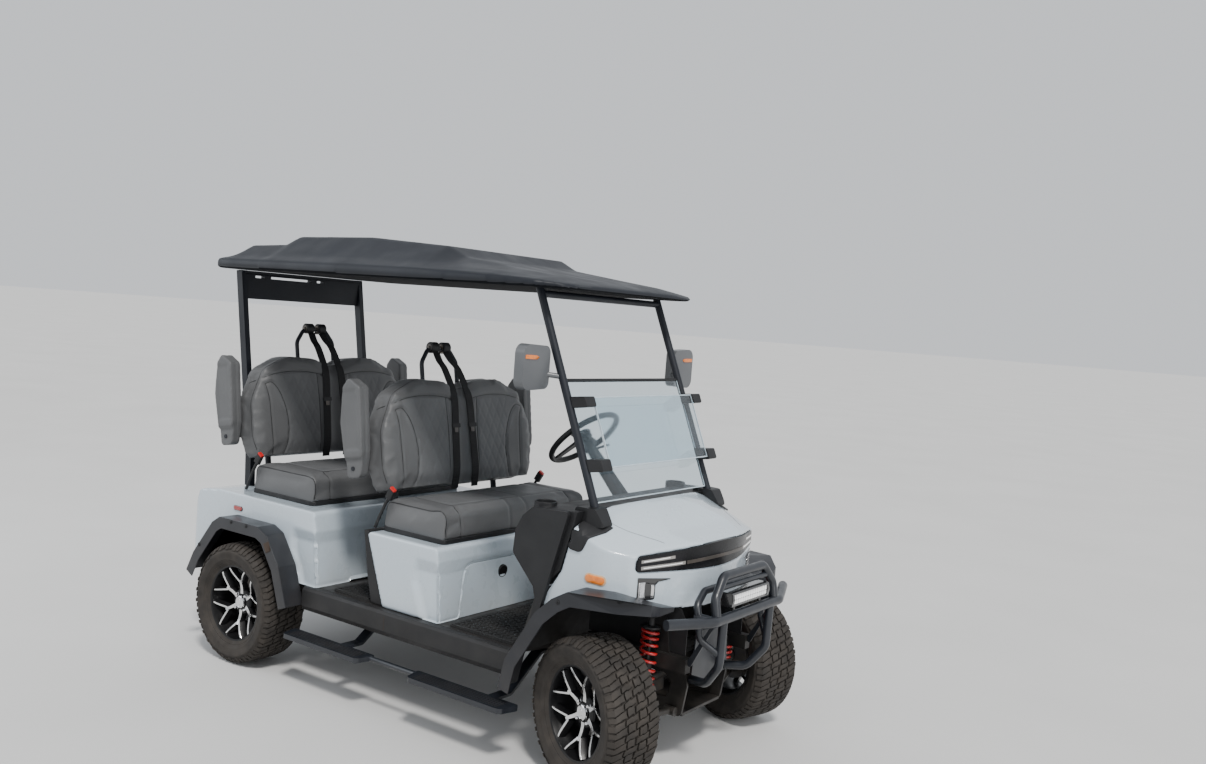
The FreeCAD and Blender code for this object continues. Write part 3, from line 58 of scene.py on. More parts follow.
joints = {joint["name"]: joint for joint in frame["joints"]}
FRONT_AXLE = joints["steer_left"]["pos_m"][0]
REAR_AXLE, _, AXLE_HEIGHT = joints["roll_rear_left"]["pos_m"]
TAU = 2 * math.pi
SIDES = (-1, 1)
FORWARD, LEFT, UP = Vector((1, 0, 0)), Vector((0, 1, 0)), Vector((0, 0, 1))


# Small helpers for meshes

def shares(count):
    """Even steps from nought to one."""
    return [step / count for step in range(count + 1)]


def smoothstep(low, high, value):
    share = min(max((value - low) / (high - low), 0), 1)
    return share * share * (3 - 2 * share)


def peak(away, width):
    """One at nought, fading to nothing on both sides."""
    return math.exp(-(away / width) ** 2)


def heading(points, index):
    """The way a run of points goes at one of them."""
    return (points[min(index + 1, len(points) - 1)] - points[max(index - 1, 0)]).normalized()


def turned_to(place, aim, axis=LEFT):
    """The frame at a place whose axis points along an aim."""
    return Matrix.Translation(place) @ axis.rotation_difference(Vector(aim)).to_matrix().to_4x4()


def rectangle(low_a, high_a, low_b, high_b, radius=0):
    return [(low_a, low_b, radius), (high_a, low_b, radius), (high_a, high_b, radius), (low_a, high_b, radius)]


def rounded(outline, steps=6):
    """Points round a closed outline of (a, b) or (a, b, corner radius)."""
    points = []
    for index, corner in enumerate(outline):
        here = Vector(corner[:2])
        radius = corner[2] if len(corner) > 2 else 0
        if not radius:
            points.append(here)
            continue
        back = (Vector(outline[index - 1][:2]) - here).normalized()
        ahead = (Vector(outline[(index + 1) % len(outline)][:2]) - here).normalized()
        half = back.angle(ahead) / 2
        centre = here + (back + ahead).normalized() * (radius / math.sin(half))
        start = here + back * radius / math.tan(half) - centre
        turn = start.angle_signed(here + ahead * radius / math.tan(half) - centre)
        points += [centre + Matrix.Rotation(-turn * share, 2) @ start for share in shares(steps)]
    return points


def smooth_line(points, steps=6):
    """A smooth curve through points, any number of coordinates each."""
    points = [Vector(point) for point in points]
    padded = [points[0] * 2 - points[1]] + points + [points[-1] * 2 - points[-2]]
    made = []
    for a, b, c, d in zip(padded, padded[1:], padded[2:], padded[3:]):
        for step in range(steps):
            t = step / steps
            made.append(0.5 * ((b * 2) + (c - a) * t + (a * 2 - b * 5 + c * 4 - d) * t * t
                               + (b * 3 - a - c * 3 + d) * t * t * t))
    return made + [points[-1]]


def loose(mesh, name):
    """An object in the scene."""
    piece = bpy.data.objects.new(name, mesh)
    bpy.context.scene.collection.objects.link(piece)
    return piece


def mesh_of(form, name):
    mesh = bpy.data.meshes.new(name)
    form.normal_update()
    form.to_mesh(mesh)
    form.free()
    return mesh


def finished(name, shape, keys, smooth=35, body="chassis"):
    """A piece from a mesh or a form, with its finishes, that rides a body."""
    mesh = shape if isinstance(shape, bpy.types.Mesh) else mesh_of(shape, name)
    piece = loose(mesh, name)
    for key in keys.split():
        mesh.materials.append(MATERIAL[key])
    for polygon in mesh.polygons:
        polygon.use_smooth = True
    mesh.set_sharp_from_angle(angle=math.radians(smooth))
    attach(piece, body)
    return piece


def settled(form, faces, material):
    """Gives new faces their finish and turns them outwards."""
    for face in faces:
        face.material_index = material
    bmesh.ops.recalc_face_normals(form, faces=faces)
    return faces


def band(form, rings):
    """Faces between rings that have the same number of corners."""
    faces = []
    for ring, following in zip(rings, rings[1:]):
        for index, corner in enumerate(ring):
            ahead = (index + 1) % len(ring)
            faces.append(form.faces.new((corner, ring[ahead], following[ahead], following[index])))
    return faces


def add_closed(form, rings, material=0):
    """A closed form from rings of corners."""
    caps = [form.faces.new(rings[0]), form.faces.new(rings[-1][::-1])]
    return settled(form, caps + band(form, rings), material)


def add_slab(form, plane, low, high, outline, steps=6, material=0):
    """A flat piece between two levels along a plane's normal, from a closed outline."""
    place = {"XY": lambda a, b, level: (a, b, level), "XZ": lambda a, b, level: (a, level, b),
             "YZ": lambda a, b, level: (level, a, b)}[plane]
    points = rounded(outline, steps)
    rings = [[form.verts.new(place(*point, level)) for point in points] for level in (low, high)]
    return add_closed(form, rings, material)


def circle(segments):
    return [(math.cos(TAU * turn / segments), math.sin(TAU * turn / segments)) for turn in range(segments)]


def add_turned(form, outline, segments=64, place=Matrix(), material=0, closed=False):
    """A form turned about the local Y axis from (radius, place along Y) corners."""
    rings = [[form.verts.new(place @ Vector((radius * a, along, radius * b)))
              for a, b in (circle(segments) if radius else [(0, 0)])] for radius, along in outline]
    pairs = list(zip(rings, rings[1:] + rings[:1]))
    faces = []
    for ring, following in pairs if closed else pairs[:-1]:
        for turn in range(segments):
            ahead = (turn + 1) % segments
            corners = []
            for part, order in ((ring, (turn, ahead)), (following, (ahead, turn))):
                corners += part if len(part) == 1 else [part[step] for step in order]
            faces.append(form.faces.new(corners))
    return settled(form, faces, material)


def add_rod(form, start, end, radius, segments=24, chamfer=0.0, material=0):
    """A round bar between two points, with chamfered ends."""
    length, inner = (end - start).length, radius - chamfer
    outline = [(0, 0), (inner, 0), (radius, chamfer), (radius, length - chamfer), (inner, length), (0, length)]
    if not chamfer:
        outline = [(0, 0), (radius, 0), (radius, length), (0, length)]
    return add_turned(form, outline, segments, turned_to(start, end - start), material)


def add_tube(form, points, radius, segments=16, material=0):
    """A round tube through many points, with parallel sections."""
    rings, normal = [], None
    for index, point in enumerate(points):
        along = heading(points, index)
        normal = along.orthogonal() if normal is None else normal
        normal = (normal - along * normal.dot(along)).normalized()
        side = along.cross(normal)
        rings.append([form.verts.new(point + (normal * a + side * b) * radius) for a, b in circle(segments)])
    return add_closed(form, rings, material)


def add_ribbon(form, points, normals, width, thickness, material=0):
    """A flat strap along points, with its face towards the normals."""
    rings = []
    for index, point in enumerate(points):
        along = heading(points, index)
        up = normals[index] if isinstance(normals, list) else normals
        up = (up - along * up.dot(along)).normalized()
        side, lift = along.cross(up) * (width / 2), up * (thickness / 2)
        rings.append([form.verts.new(point + corner)
                      for corner in (side + lift, -side + lift, -side - lift, side - lift)])
    return add_closed(form, rings, material)


def solved(piece):
    """Applies the piece's modifiers to its mesh."""
    mesh = bpy.data.meshes.new_from_object(piece.evaluated_get(bpy.context.evaluated_depsgraph_get()))
    piece.modifiers.clear()
    old, piece.data = piece.data, mesh
    bpy.data.meshes.remove(old)
    return piece


def node_form(*nodes):
    """The CAD nodes' shapes as one editable form with joined corners."""
    form = bmesh.new()
    for name in nodes:
        form.from_mesh(frame["nodes"][name].data)
    bmesh.ops.remove_doubles(form, verts=form.verts, dist=2e-5)
    return form


def remeshed(form, voxel, rounds, name):
    """A helper object with all edges softened, as moulded plastic has them."""
    piece = loose(mesh_of(form, name), name)
    remesh = piece.modifiers.new("remesh", "REMESH")
    remesh.mode, remesh.voxel_size = "VOXEL", voxel
    soften = piece.modifiers.new("soften", "SMOOTH")
    soften.factor, soften.iterations = 0.5, rounds
    return solved(piece)


def shaped(mesh, shape):
    """Moves each corner to shape(place, normal)."""
    normals = [vertex.normal.copy() for vertex in mesh.vertices]
    for vertex, normal in zip(mesh.vertices, normals):
        vertex.co = shape(vertex.co.copy(), normal)


def moulded(name, nodes, keys, voxel, rounds, shape=None, fill=None, body="chassis"):
    """A softened copy of CAD nodes that stands for them, with optional filling and a change of each corner."""
    form = node_form(*nodes)
    if fill:
        fill(form)
    piece = remeshed(form, voxel, rounds, name)
    mesh = piece.data
    if shape:
        shaped(mesh, shape)
    bpy.data.objects.remove(piece)
    made = finished(name, mesh, keys, 50, body)
    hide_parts(*nodes)
    return made


def bevel(piece, width, segments, angle=30, harden=False):
    """Rounds the edges that are sharper than an angle."""
    edges = piece.modifiers.new("bevel", "BEVEL")
    edges.width, edges.segments = width, segments
    edges.limit_method, edges.angle_limit = "ANGLE", math.radians(angle)
    edges.harden_normals = harden


def edged(name, nodes, keys, width=0.004, segments=3, angle=32, body="chassis"):
    """A copy of CAD nodes with rounded edges that stands for them."""
    form = node_form(*nodes)
    bmesh.ops.dissolve_limit(form, angle_limit=math.radians(0.6), verts=form.verts, edges=form.edges)
    made = finished(name, form, keys, angle + 8, body)
    bevel(made, width, segments, angle, True)
    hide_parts(*nodes)
    return made


# Materials

class Finish:
    """A procedural material, built up from a shader, colour variation and surface grain."""

    def __init__(self, name, colour, roughness, **inputs):
        self.material = bpy.data.materials.new(name)
        self.material.use_nodes = True
        self.tree = self.material.node_tree
        self.shader = self.tree.nodes["Principled BSDF"].inputs
        for key, value in {"Base Color": (*colour, 1), "Roughness": roughness, **inputs}.items():
            self.feed(self.shader[key], value)

    def feed(self, socket, value):
        """Links a socket to another, or gives it a value."""
        if isinstance(value, bpy.types.NodeSocket):
            self.tree.links.new(value, socket)
        else:
            socket.default_value = value

    def add(self, kind, inputs=None, **settings):
        item = self.tree.nodes.new("ShaderNode" + kind)
        for key, value in settings.items():
            setattr(item, key, value)
        for key, value in (inputs or {}).items():
            self.feed(item.inputs[key], value)
        return item

    def object_space(self):
        return self.add("TexCoord").outputs["Object"]

    def noise(self, scale, detail):
        return self.add("TexNoise", {"Scale": scale, "Detail": detail, "Vector": self.object_space()}).outputs["Fac"]

    def ramp(self, source, low, high, start=0.0, end=1.0):
        return self.add("MapRange", {"Value": source, "From Min": low, "From Max": high,
                                     "To Min": start, "To Max": end}).outputs["Result"]

    def both(self, operation, first, second):
        return self.add("Math", {0: first, 1: second}, operation=operation).outputs["Value"]

    def tint(self, share, colour):
        """Mixes another colour into the base colour by a share."""
        base = self.shader["Base Color"]
        item = self.add("Mix", {0: share}, data_type="RGBA")
        first, second = [socket for socket in item.inputs if socket.type == "RGBA"][:2]
        self.feed(first, base.links[0].from_socket if base.is_linked else tuple(base.default_value))
        self.feed(second, (*colour, 1))
        self.feed(base, next(socket for socket in item.outputs if socket.type == "RGBA"))
        return self

    def clouds(self, other, scale, low=0.35, high=0.65):
        """Colour that drifts between the base colour and another."""
        return self.tint(self.ramp(self.noise(scale, 5.0), low, high), other)

    def dust(self, colour, low, high, most, scale):
        """Dust that fades out between two heights."""
        height = self.add("SeparateXYZ", {"Vector": self.object_space()}).outputs["Z"]
        patches = self.ramp(self.noise(scale, 6.0), 0.3, 0.7, 0.15, 1.0)
        return self.tint(self.both("MULTIPLY", self.ramp(height, low, high, most, 0.0), patches), colour)

    def sheen(self, scale, low, high):
        """Roughness that varies between two values."""
        self.feed(self.shader["Roughness"], self.ramp(self.noise(scale, 4.0), 0.3, 0.7, low, high))
        return self

    def bump(self, source, strength, distance):
        item = self.add("Bump", {"Strength": strength, "Distance": distance, "Height": source})
        normal = self.shader["Normal"]
        if normal.is_linked:
            self.feed(item.inputs["Normal"], normal.links[0].from_socket)
        self.feed(normal, item.outputs["Normal"])
        return self

    def grain(self, scale, strength=0.3, distance=0.0004, detail=3.0):
        return self.bump(self.noise(scale, detail), strength, distance)

    def pebbles(self, scale, strength):
        """Leather-like cells."""
        cells = self.add("TexVoronoi", {"Scale": scale, "Vector": self.object_space()}, feature="DISTANCE_TO_EDGE")
        return self.bump(self.ramp(cells.outputs["Distance"], 0.0, 0.12), strength, 0.0004)

    def weave(self, scale, strength, distance):
        """Two crossing sets of threads."""
        threads = [self.add("TexWave", {"Scale": scale, "Distortion": 0.4, "Vector": self.object_space()},
                            wave_type="BANDS", bands_direction=way).outputs["Fac"] for way in ("X", "Z")]
        return self.bump(self.both("MAXIMUM", *threads), strength, distance)


def spec(level):
    return {"Specular IOR Level": level}


def coat(weight, roughness):
    return {"Coat Weight": weight, "Coat Roughness": roughness}


def clear(share, index):
    return {"Transmission Weight": share, "IOR": index}


METAL = {"Metallic": 1.0}
GLOW = {"Emission Color": (1, 0.97, 0.93, 1), "Emission Strength": 0.45}

# Columns: key, name, colour, roughness, other inputs, then what clouds, grain and sheen take, nothing where empty
FINISHES = (
    ("paint", "pale_paint", (0.500, 0.575, 0.635), 0.26, coat(1.0, 0.04), ((0.480, 0.555, 0.617), 2.2),
     (260, 0.05, 0.0003, 2), (14, 0.24, 0.34)),
    ("roof", "dark_roof", (0.0085, 0.0105, 0.0155), 0.46, spec(0.32), ((0.0120, 0.0145, 0.0205), 3.0),
     (420, 0.16, 0.0004, 3), (7, 0.40, 0.54)),
    ("trim", "black_trim", (0.0085, 0.0088, 0.0100), 0.52, spec(0.35), ((0.0140, 0.0144, 0.0160), 6.0),
     (520, 0.35, 0.0005, 3), (10, 0.42, 0.6)),
    ("steel", "black_steel", (0.0085, 0.0085, 0.0095), 0.42, spec(0.4), ((0.018, 0.017, 0.016), 9.0),
     (300, 0.2, 0.0004, 3), (16, 0.34, 0.55)),
    ("tube", "dark_tube", (0.0085, 0.0105, 0.0150), 0.36, coat(0.2, 0.2), ((0.0130, 0.0155, 0.0210), 12.0),
     (600, 0.12, 0.0003, 2), (20, 0.28, 0.42)),
    ("red", "red_coil", (0.50, 0.010, 0.012), 0.3, coat(0.6, 0.1), ((0.36, 0.012, 0.012), 40), (300, 0.1, 0.0003), ()),
    ("cast", "cast_metal", (0.10, 0.10, 0.105), 0.5, {"Metallic": 0.75}, ((0.16, 0.14, 0.12), 14),
     (160, 0.4, 0.0006, 5), (20, 0.4, 0.65)),
    ("tyre", "tyre_rubber", (0.021, 0.0185, 0.0165), 0.78, spec(0.35), ((0.040, 0.034, 0.029), 16, 0.3, 0.7),
     (240, 0.4, 0.0006, 5), (18, 0.68, 0.9)),
    ("machined", "machined_face", (0.80, 0.80, 0.79), 0.16, METAL, ((0.70, 0.70, 0.70), 30),
     (900, 0.10, 0.0002, 2), (50, 0.12, 0.24)),
    ("gloss_black", "gloss_black", (0.006, 0.006, 0.007), 0.12, coat(1.0, 0.03), ((0.012, 0.012, 0.013), 9),
     (140, 0.03, 0.0003), (12, 0.08, 0.2)),
    ("bar_black", "bar_black", (0.0055, 0.0056, 0.0065), 0.24, spec(0.22), ((0.010, 0.010, 0.012), 9),
     (140, 0.03, 0.0003), (12, 0.20, 0.30)),
    ("rim_black", "rim_black", (0.0055, 0.0055, 0.0060), 0.34, spec(0.28), ((0.010, 0.010, 0.011), 14),
     (200, 0.06, 0.0003), (20, 0.28, 0.42)),
    ("liner", "roof_liner", (0.0065, 0.0072, 0.0090), 0.85, spec(0.05), ((0.0090, 0.0100, 0.0125), 4),
     (420, 0.16, 0.0004, 3), ()),
    ("reflector", "dark_reflector", (0.030, 0.019, 0.013), 0.4, spec(0.25), ((0.045, 0.028, 0.018), 60),
     (700, 0.3, 0.0003), ()),
    ("chrome", "chrome", (0.82, 0.82, 0.83), 0.08, METAL, ((0.74, 0.74, 0.75), 24), (180, 0.04, 0.0002),
     (30, 0.05, 0.14)),
    ("vinyl", "seat_vinyl", (0.084, 0.086, 0.089), 0.46, spec(0.42), ((0.098, 0.100, 0.103), 5),
     (60, 0.12, 0.0008, 4), (9, 0.40, 0.54)),
    ("insert", "seat_insert", (0.096, 0.099, 0.103), 0.5, spec(0.4), ((0.113, 0.116, 0.120), 7),
     (90, 0.12, 0.0006, 4), (11, 0.44, 0.58)),
    ("piping", "seat_piping", (0.010, 0.010, 0.011), 0.5, {}, ((0.018, 0.018, 0.019), 60), (500, 0.3, 0.0003), ()),
    ("webbing", "belt_webbing", (0.0060, 0.0060, 0.0072), 0.66, spec(0.3), ((0.0100, 0.0100, 0.0115), 30),
     (), (30, 0.55, 0.7)),
    ("acrylic", "clear_acrylic", (0.80, 0.905, 0.965), 0.03, clear(1.0, 1.49), ((0.77, 0.89, 0.96), 3),
     (3.0, 0.02, 0.002, 2), (4, 0.015, 0.05)),
    ("acrylic_edge", "acrylic_edge", (0.72, 0.82, 0.88), 0.3, clear(0.35, 1.49), ((0.60, 0.72, 0.80), 20),
     (400, 0.3, 0.0004), ()),
    ("lens", "clear_lens", (0.92, 0.94, 0.96), 0.05, clear(0.9, 1.5), ((0.88, 0.90, 0.93), 30), (90, 0.1, 0.0004), ()),
    ("lamp_white", "lit_lamp", (0.85, 0.86, 0.86), 0.3, GLOW, ((0.70, 0.71, 0.72), 60), (400, 0.2, 0.0004), ()),
    ("lamp_strip", "lamp_strip", (0.26, 0.245, 0.23), 0.3, coat(0.6, 0.1), ((0.20, 0.19, 0.18), 40),
     (300, 0.15, 0.0003), ()),
    ("orange", "orange_lens", (0.85, 0.22, 0.015), 0.15, coat(0.8, 0.05), ((0.70, 0.16, 0.01), 60),
     (700, 0.35, 0.0004), ()),
    ("red_lens", "red_lens", (0.42, 0.012, 0.012), 0.15, coat(0.9, 0.05), ((0.30, 0.008, 0.008), 60),
     (700, 0.35, 0.0004), ()),
    ("mat", "mat_rubber", (0.0095, 0.0095, 0.0100), 0.6, spec(0.4), ((0.018, 0.0175, 0.017), 8),
     (300, 0.3, 0.0005), ()),
    ("flare", "flare_satin", (0.0130, 0.0142, 0.0178), 0.38, spec(0.42), ((0.0185, 0.0198, 0.0240), 6.0),
     (520, 0.2, 0.0004, 3), (10, 0.30, 0.44)),
    ("smoke", "smoked_strip", (0.052, 0.046, 0.041), 0.30, spec(0.3), ((0.072, 0.062, 0.055), 18),
     (300, 0.05, 0.0002), ()),
    ("marker_rim", "marker_rim", (0.62, 0.40, 0.22), 0.3, coat(0.6, 0.1), ((0.5, 0.32, 0.18), 60),
     (300, 0.1, 0.0002), ()),
    ("mirror_shell", "mirror_shell", (0.085, 0.090, 0.097), 0.36, coat(0.2, 0.2), ((0.100, 0.105, 0.112), 9),
     (500, 0.15, 0.0003), (18, 0.3, 0.42)),
    ("mirror_glass", "mirror_glass", (0.9, 0.92, 0.93), 0.02, METAL, ((0.88, 0.9, 0.92), 3), (), (4, 0.01, 0.04)),
    ("red_button", "red_button", (0.62, 0.012, 0.010), 0.35, {}, ((0.5, 0.012, 0.010), 60), (300, 0.2, 0.0003), ()),
    ("blue_grey", "seam_shadow", (0.10, 0.11, 0.12), 0.6, {}, ((0.06, 0.065, 0.07), 20), (200, 0.1), ()),
)
# Columns: colour, from and to height, most of it, scale
DUST = {
    "paint": ((0.47, 0.46, 0.42), 0.40, 0.62, 0.35, 12),
    "trim": ((0.07, 0.062, 0.054), 0.12, 0.6, 0.35, 11),
    "steel": ((0.08, 0.068, 0.056), 0.10, 0.62, 0.4, 15),
    "red": ((0.16, 0.09, 0.07), 0.2, 0.5, 0.4, 30),
    "flare": ((0.08, 0.07, 0.06), 0.3, 0.72, 0.22, 11),
}
PEBBLES = {"vinyl": (620, 0.22), "insert": (820, 0.2)}


def make_materials():
    made = {}
    for key, name, colour, roughness, inputs, drift, grain, sheen in FINISHES:
        finish = Finish(name, colour, roughness, **inputs).clouds(*drift)
        if key in DUST:
            finish.dust(*DUST[key])
        if key in PEBBLES:
            finish.pebbles(*PEBBLES[key])
        if key == "webbing":
            finish.weave(230, 0.6, 0.0005)
        if grain:
            finish.grain(*grain)
        if sheen:
            finish.sheen(*sheen)
        made[key] = finish.material
    return made


MATERIAL = make_materials()

# Which carried-over CAD nodes take each finish; tyres take rubber, and what is left is black
NODE_FINISH = {
    "steel": "chassis_frame front_subframe frame_brackets front_suspension_arms rear_leaf_springs floor_pan pedals",
    "red": "front_shocks",
    "cast": "knuckle_left knuckle_right tie_rods steering_rack rear_axle",
    "trim": "battery_block rocker_panels seat_pod_panels rear_flares front_flares dash cowl_side_panels "
            "windshield_clamps steering_column steering_wheel",
    "mat": "floor_mats",
    "tube": "side_steps front_bumper",
    "paint": "seat_pod rear_body nose_body",
    "roof": "front_pillars rear_pillars roof seat_frames belt_hoops",
    "acrylic": "windshield",
    "mirror_shell": "mirrors",
    "vinyl": "front_cushion rear_cushion front_backrest rear_backrest armrest_front_left armrest_front_right "
             "armrest_rear_left armrest_rear_right",
    "webbing": "seat_belts",
    "red_lens": "tail_lamps",
}


def dress_nodes():
    keys = {node: key for key, nodes in NODE_FINISH.items() for node in nodes.split()}
    for name, piece in frame["nodes"].items():
        piece.data.materials.clear()
        piece.data.materials.append(MATERIAL[keys.get(name, "tyre" if name.startswith("tyre") else "gloss_black")])


# Wheels: all-terrain tyre and forked-spoke rim, in a local frame with Y outward

TYRE_RADIUS = AXLE_HEIGHT
RIM_RADIUS = 0.178
PITCHES = 31
PITCH_LENGTH = 0.054
TREAD_SKEW = 6.0
TREAD_DEPTH = 0.0115
CROWN_FALL, BLOCK_EDGE, BLOCK_PULL = 0.0052, 0.0012, 0.046
GROOVE = TYRE_RADIUS - TREAD_DEPTH
# Side wall from the bead to the groove's floor, as (radius, distance from the middle)
SIDE_WALL = (
    (RIM_RADIUS + 0.0005, 0.086), (0.186, 0.0935), (0.193, 0.0965), (0.197, 0.1010), (0.2005, 0.1015),
    (0.204, 0.1060), (0.214, 0.1108), (0.2165, 0.1128), (0.222, 0.1132), (0.2245, 0.1146), (0.240, 0.1160),
    (0.2425, 0.1172), (0.252, 0.1168), (0.2545, 0.1150), (0.266, 0.1105), (0.2745, 0.1035),
    (GROOVE - 0.0015, 0.0935), (GROOVE, 0.080), (GROOVE + 0.001, 0.04))
# Two middle and two shoulder blocks of one pitch, as (share of the pitch, distance across)
BLOCKS = (
    ((0.05, -0.0045), (0.38, -0.0015), (0.43, 0.022), (0.37, 0.0305), (0.40, 0.0520), (0.10, 0.0500),
     (0.04, 0.027), (0.09, 0.019)),
    ((0.47, 0.0125), (0.80, 0.0105), (0.97, 0.0125), (0.91, 0.021), (0.95, 0.0400), (0.62, 0.0430),
     (0.47, 0.0410), (0.44, 0.031), (0.50, 0.022)),
    ((0.02, 0.0560), (0.26, 0.0590), (0.45, 0.0570), (0.44, 0.070), (0.48, 0.084), (0.46, 0.0985),
     (0.05, 0.0985), (0.02, 0.080), (0.06, 0.067)),
    ((0.51, 0.0475), (0.70, 0.0495), (0.93, 0.0460), (0.90, 0.067), (0.94, 0.080), (0.92, 0.094),
     (0.57, 0.094), (0.56, 0.084), (0.51, 0.070)),
)
# Lugs on the side wall: start and end as share of the pitch, lowest radius
LUGS = ((0.08, 0.46, 0.262), (0.58, 0.88, 0.268))


def block_rings(points):
    """Corners of a tread block with a chamfered top, as (share of the pitch, distance across, radius)."""
    middle = sum((Vector(point) for point in points), Vector((0, 0))) / len(points)
    lower, upper, top = [], [], []
    for along, across in points:
        crown = TYRE_RADIUS - CROWN_FALL * abs(across / 0.1) ** 3
        pull = Vector((middle.x - along, (middle.y - across) / PITCH_LENGTH)).normalized() * BLOCK_PULL
        lower.append((along, across, crown - TREAD_DEPTH))
        upper.append((along, across, crown - BLOCK_EDGE))
        top.append((along + pull.x, across + pull.y * PITCH_LENGTH, crown))
    return lower, upper, top


def tyre_form():
    form = bmesh.new()
    outline = list(SIDE_WALL) + [(radius, -along) for radius, along in reversed(SIDE_WALL)]
    add_turned(form, outline, 128)
    add_turned(form, [outline[-1], outline[0]], 128)
    bmesh.ops.remove_doubles(form, verts=form.verts, dist=1e-5)
    for turn in range(PITCHES):
        for mirror in (1, -1):
            def corner(share, across, radius, skew_at, mirror=mirror, turn=turn):
                angle = (mirror * (share + TREAD_SKEW * skew_at) + turn) * TAU / PITCHES
                return form.verts.new((radius * math.cos(angle), mirror * across, radius * math.sin(angle)))

            for points in BLOCKS:
                add_closed(form, [[corner(share, across, radius, across) for share, across, radius in ring]
                                  for ring in block_rings(points)])
            for start, end, low in LUGS:
                levels = ((low, 0.1122, 0.0), (low + 0.002, 0.1140, 0.0028), (0.2765, 0.1028, 0.0042),
                          (0.2862, 0.0975, 0.0005))
                add_closed(form, [[corner(share, out + lift, radius, 0.1) for share, lift in
                                   ((start, -0.006), (start, proud), (end, proud), (end, -0.006))]
                                  for radius, out, proud in levels])
    return form


SPOKES = 6
BLACK, BRIGHT, SHINY, IRON = range(4)
# Profiles of the rim as (radius, place along the axle): barrel with two lips, pad on the flange, cap, nuts, drum
BARREL = ((0.1765, 0.0835), (0.1905, 0.0845), (0.1925, 0.0875), (0.1905, 0.0905), (0.1830, 0.0915), (0.1760, 0.0890),
          (0.1735, 0.0800), (0.1715, 0.0700), (0.1690, 0.0560), (0.1600, 0.0350), (0.1585, -0.0600),
          (0.1700, -0.0780), (0.1745, -0.0890), (0.1905, -0.0905), (0.1925, -0.0875), (0.1905, -0.0845),
          (0.1765, -0.0835))
PAD = ((0, 0.0205), (0.064, 0.0205), (0.064, 0.036), (0.058, 0.043), (0.047, 0.0455), (0.036, 0.0455),
       (0.034, 0.041), (0, 0.041))
CAP = ((0.0305, 0.040), (0.0315, 0.0530), (0.0300, 0.0580), (0.0262, 0.0600), (0.0245, 0.0585), (0.0120, 0.0592),
       (0.0105, 0.0605), (0, 0.0610))
NUT_SEAT = ((0.0098, 0.036), (0.0098, 0.0455), (0.0085, 0.0470))
NUT = ((0.0072, 0.0455), (0.0072, 0.0550), (0.0045, 0.0590), (0, 0.0600))
DRUM = ((0, 0), (0.105, 0), (0.110, -0.006), (0.110, -0.040), (0, -0.040))
NUT_CIRCLE = 0.0475
FORK, TIP, SPREAD = 0.106, 0.1715, math.radians(19.5)


def spoke_level(radius):
    """The face of the spokes, dished from the hub out to the lip."""
    return 0.0475 + 0.036 * smoothstep(0.045, 0.172, radius) ** 1.15


def add_limb(form, spin, points):
    """Sloping black sides and a narrow bright face, from (radius, across, half width, lean)."""
    rings = []
    for radius, across, half, lean in points:
        level = spoke_level(math.hypot(radius, across))
        rings.append([form.verts.new(spin @ Vector((radius - offset * lean, level - drop, across + offset)))
                      for offset, drop in ((-half - 0.0075, 0.030), (-half - 0.0012, 0.0016), (-half, 0.0),
                                           (half, 0.0), (half + 0.0012, 0.0016), (half + 0.0075, 0.030))])
    for number, face in enumerate(add_closed(form, rings, BLACK)[2:]):
        face.material_index = BRIGHT if number % 6 in (1, 2, 3) else BLACK


def rim_form():
    form = bmesh.new()
    add_turned(form, BARREL, 96, material=BLACK, closed=True)
    add_turned(form, PAD, 64, material=BLACK)
    add_turned(form, CAP, 48, material=SHINY)
    for turn in range(4):
        angle = TAU * (turn + 0.5) / 4
        place = Matrix.Translation((NUT_CIRCLE * math.cos(angle), 0, NUT_CIRCLE * math.sin(angle)))
        add_turned(form, NUT_SEAT, 6, place, SHINY)
        add_turned(form, NUT, 16, place, SHINY)
    stem = [(radius, 0.0, half, 0.0) for radius, half in
            ((0.040, 0.0095), (0.060, 0.0076), (0.080, 0.0068), (0.098, 0.0066), (FORK + 0.004, 0.0046))]
    for turn in range(SPOKES):
        spin = Matrix.Rotation(TAU * turn / SPOKES + math.radians(30), 4, "Y")
        add_limb(form, spin, stem)
        for side in SIDES:
            start = Vector((FORK - 0.006, side * 0.0055))
            end = Vector((TIP * math.cos(SPREAD), side * TIP * math.sin(SPREAD)))
            add_limb(form, spin, [(*start.lerp(end, share), 0.0036 - 0.0006 * share, side * 0.45)
                                  for share in shares(4)])
    add_turned(form, DRUM, 48, material=IRON)
    return form


def build_wheels():
    kinds = (("tyre_", mesh_of(tyre_form(), "tyre"), "tyre", "tyre_rubber", 30),
             ("rim_", mesh_of(rim_form(), "rim"), "rim_black machined chrome cast", "rim_alloy", 28))
    for side, sign in (("left", 1), ("right", -1)):
        for end in ("front", "rear"):
            place_name = "%s_%s" % (end, side)
            joint = joints["roll_" + place_name]
            outward = Vector(joint["axis"]) * sign
            turn = Matrix((outward.cross(UP), outward, UP)).transposed().to_4x4()
            for part, mesh, keys, slot, smooth in kinds:
                copy = mesh.copy()
                copy.transform(Matrix.Translation(joint["pos_m"]) @ turn)
                piece = finished("dressed_" + part + place_name, copy, keys, smooth, "wheel_" + place_name)
                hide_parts(part + place_name)


# Pieces laid on surfaces

def skin_of(piece):
    """A search tree over a piece's surface."""
    form = bmesh.new()
    form.from_mesh(piece.evaluated_get(bpy.context.evaluated_depsgraph_get()).data)
    tree = BVHTree.FromBMesh(form)
    form.free()
    return tree


def meets(tree, start, aim):
    return tree.ray_cast(start, aim.normalized())[0] is not None


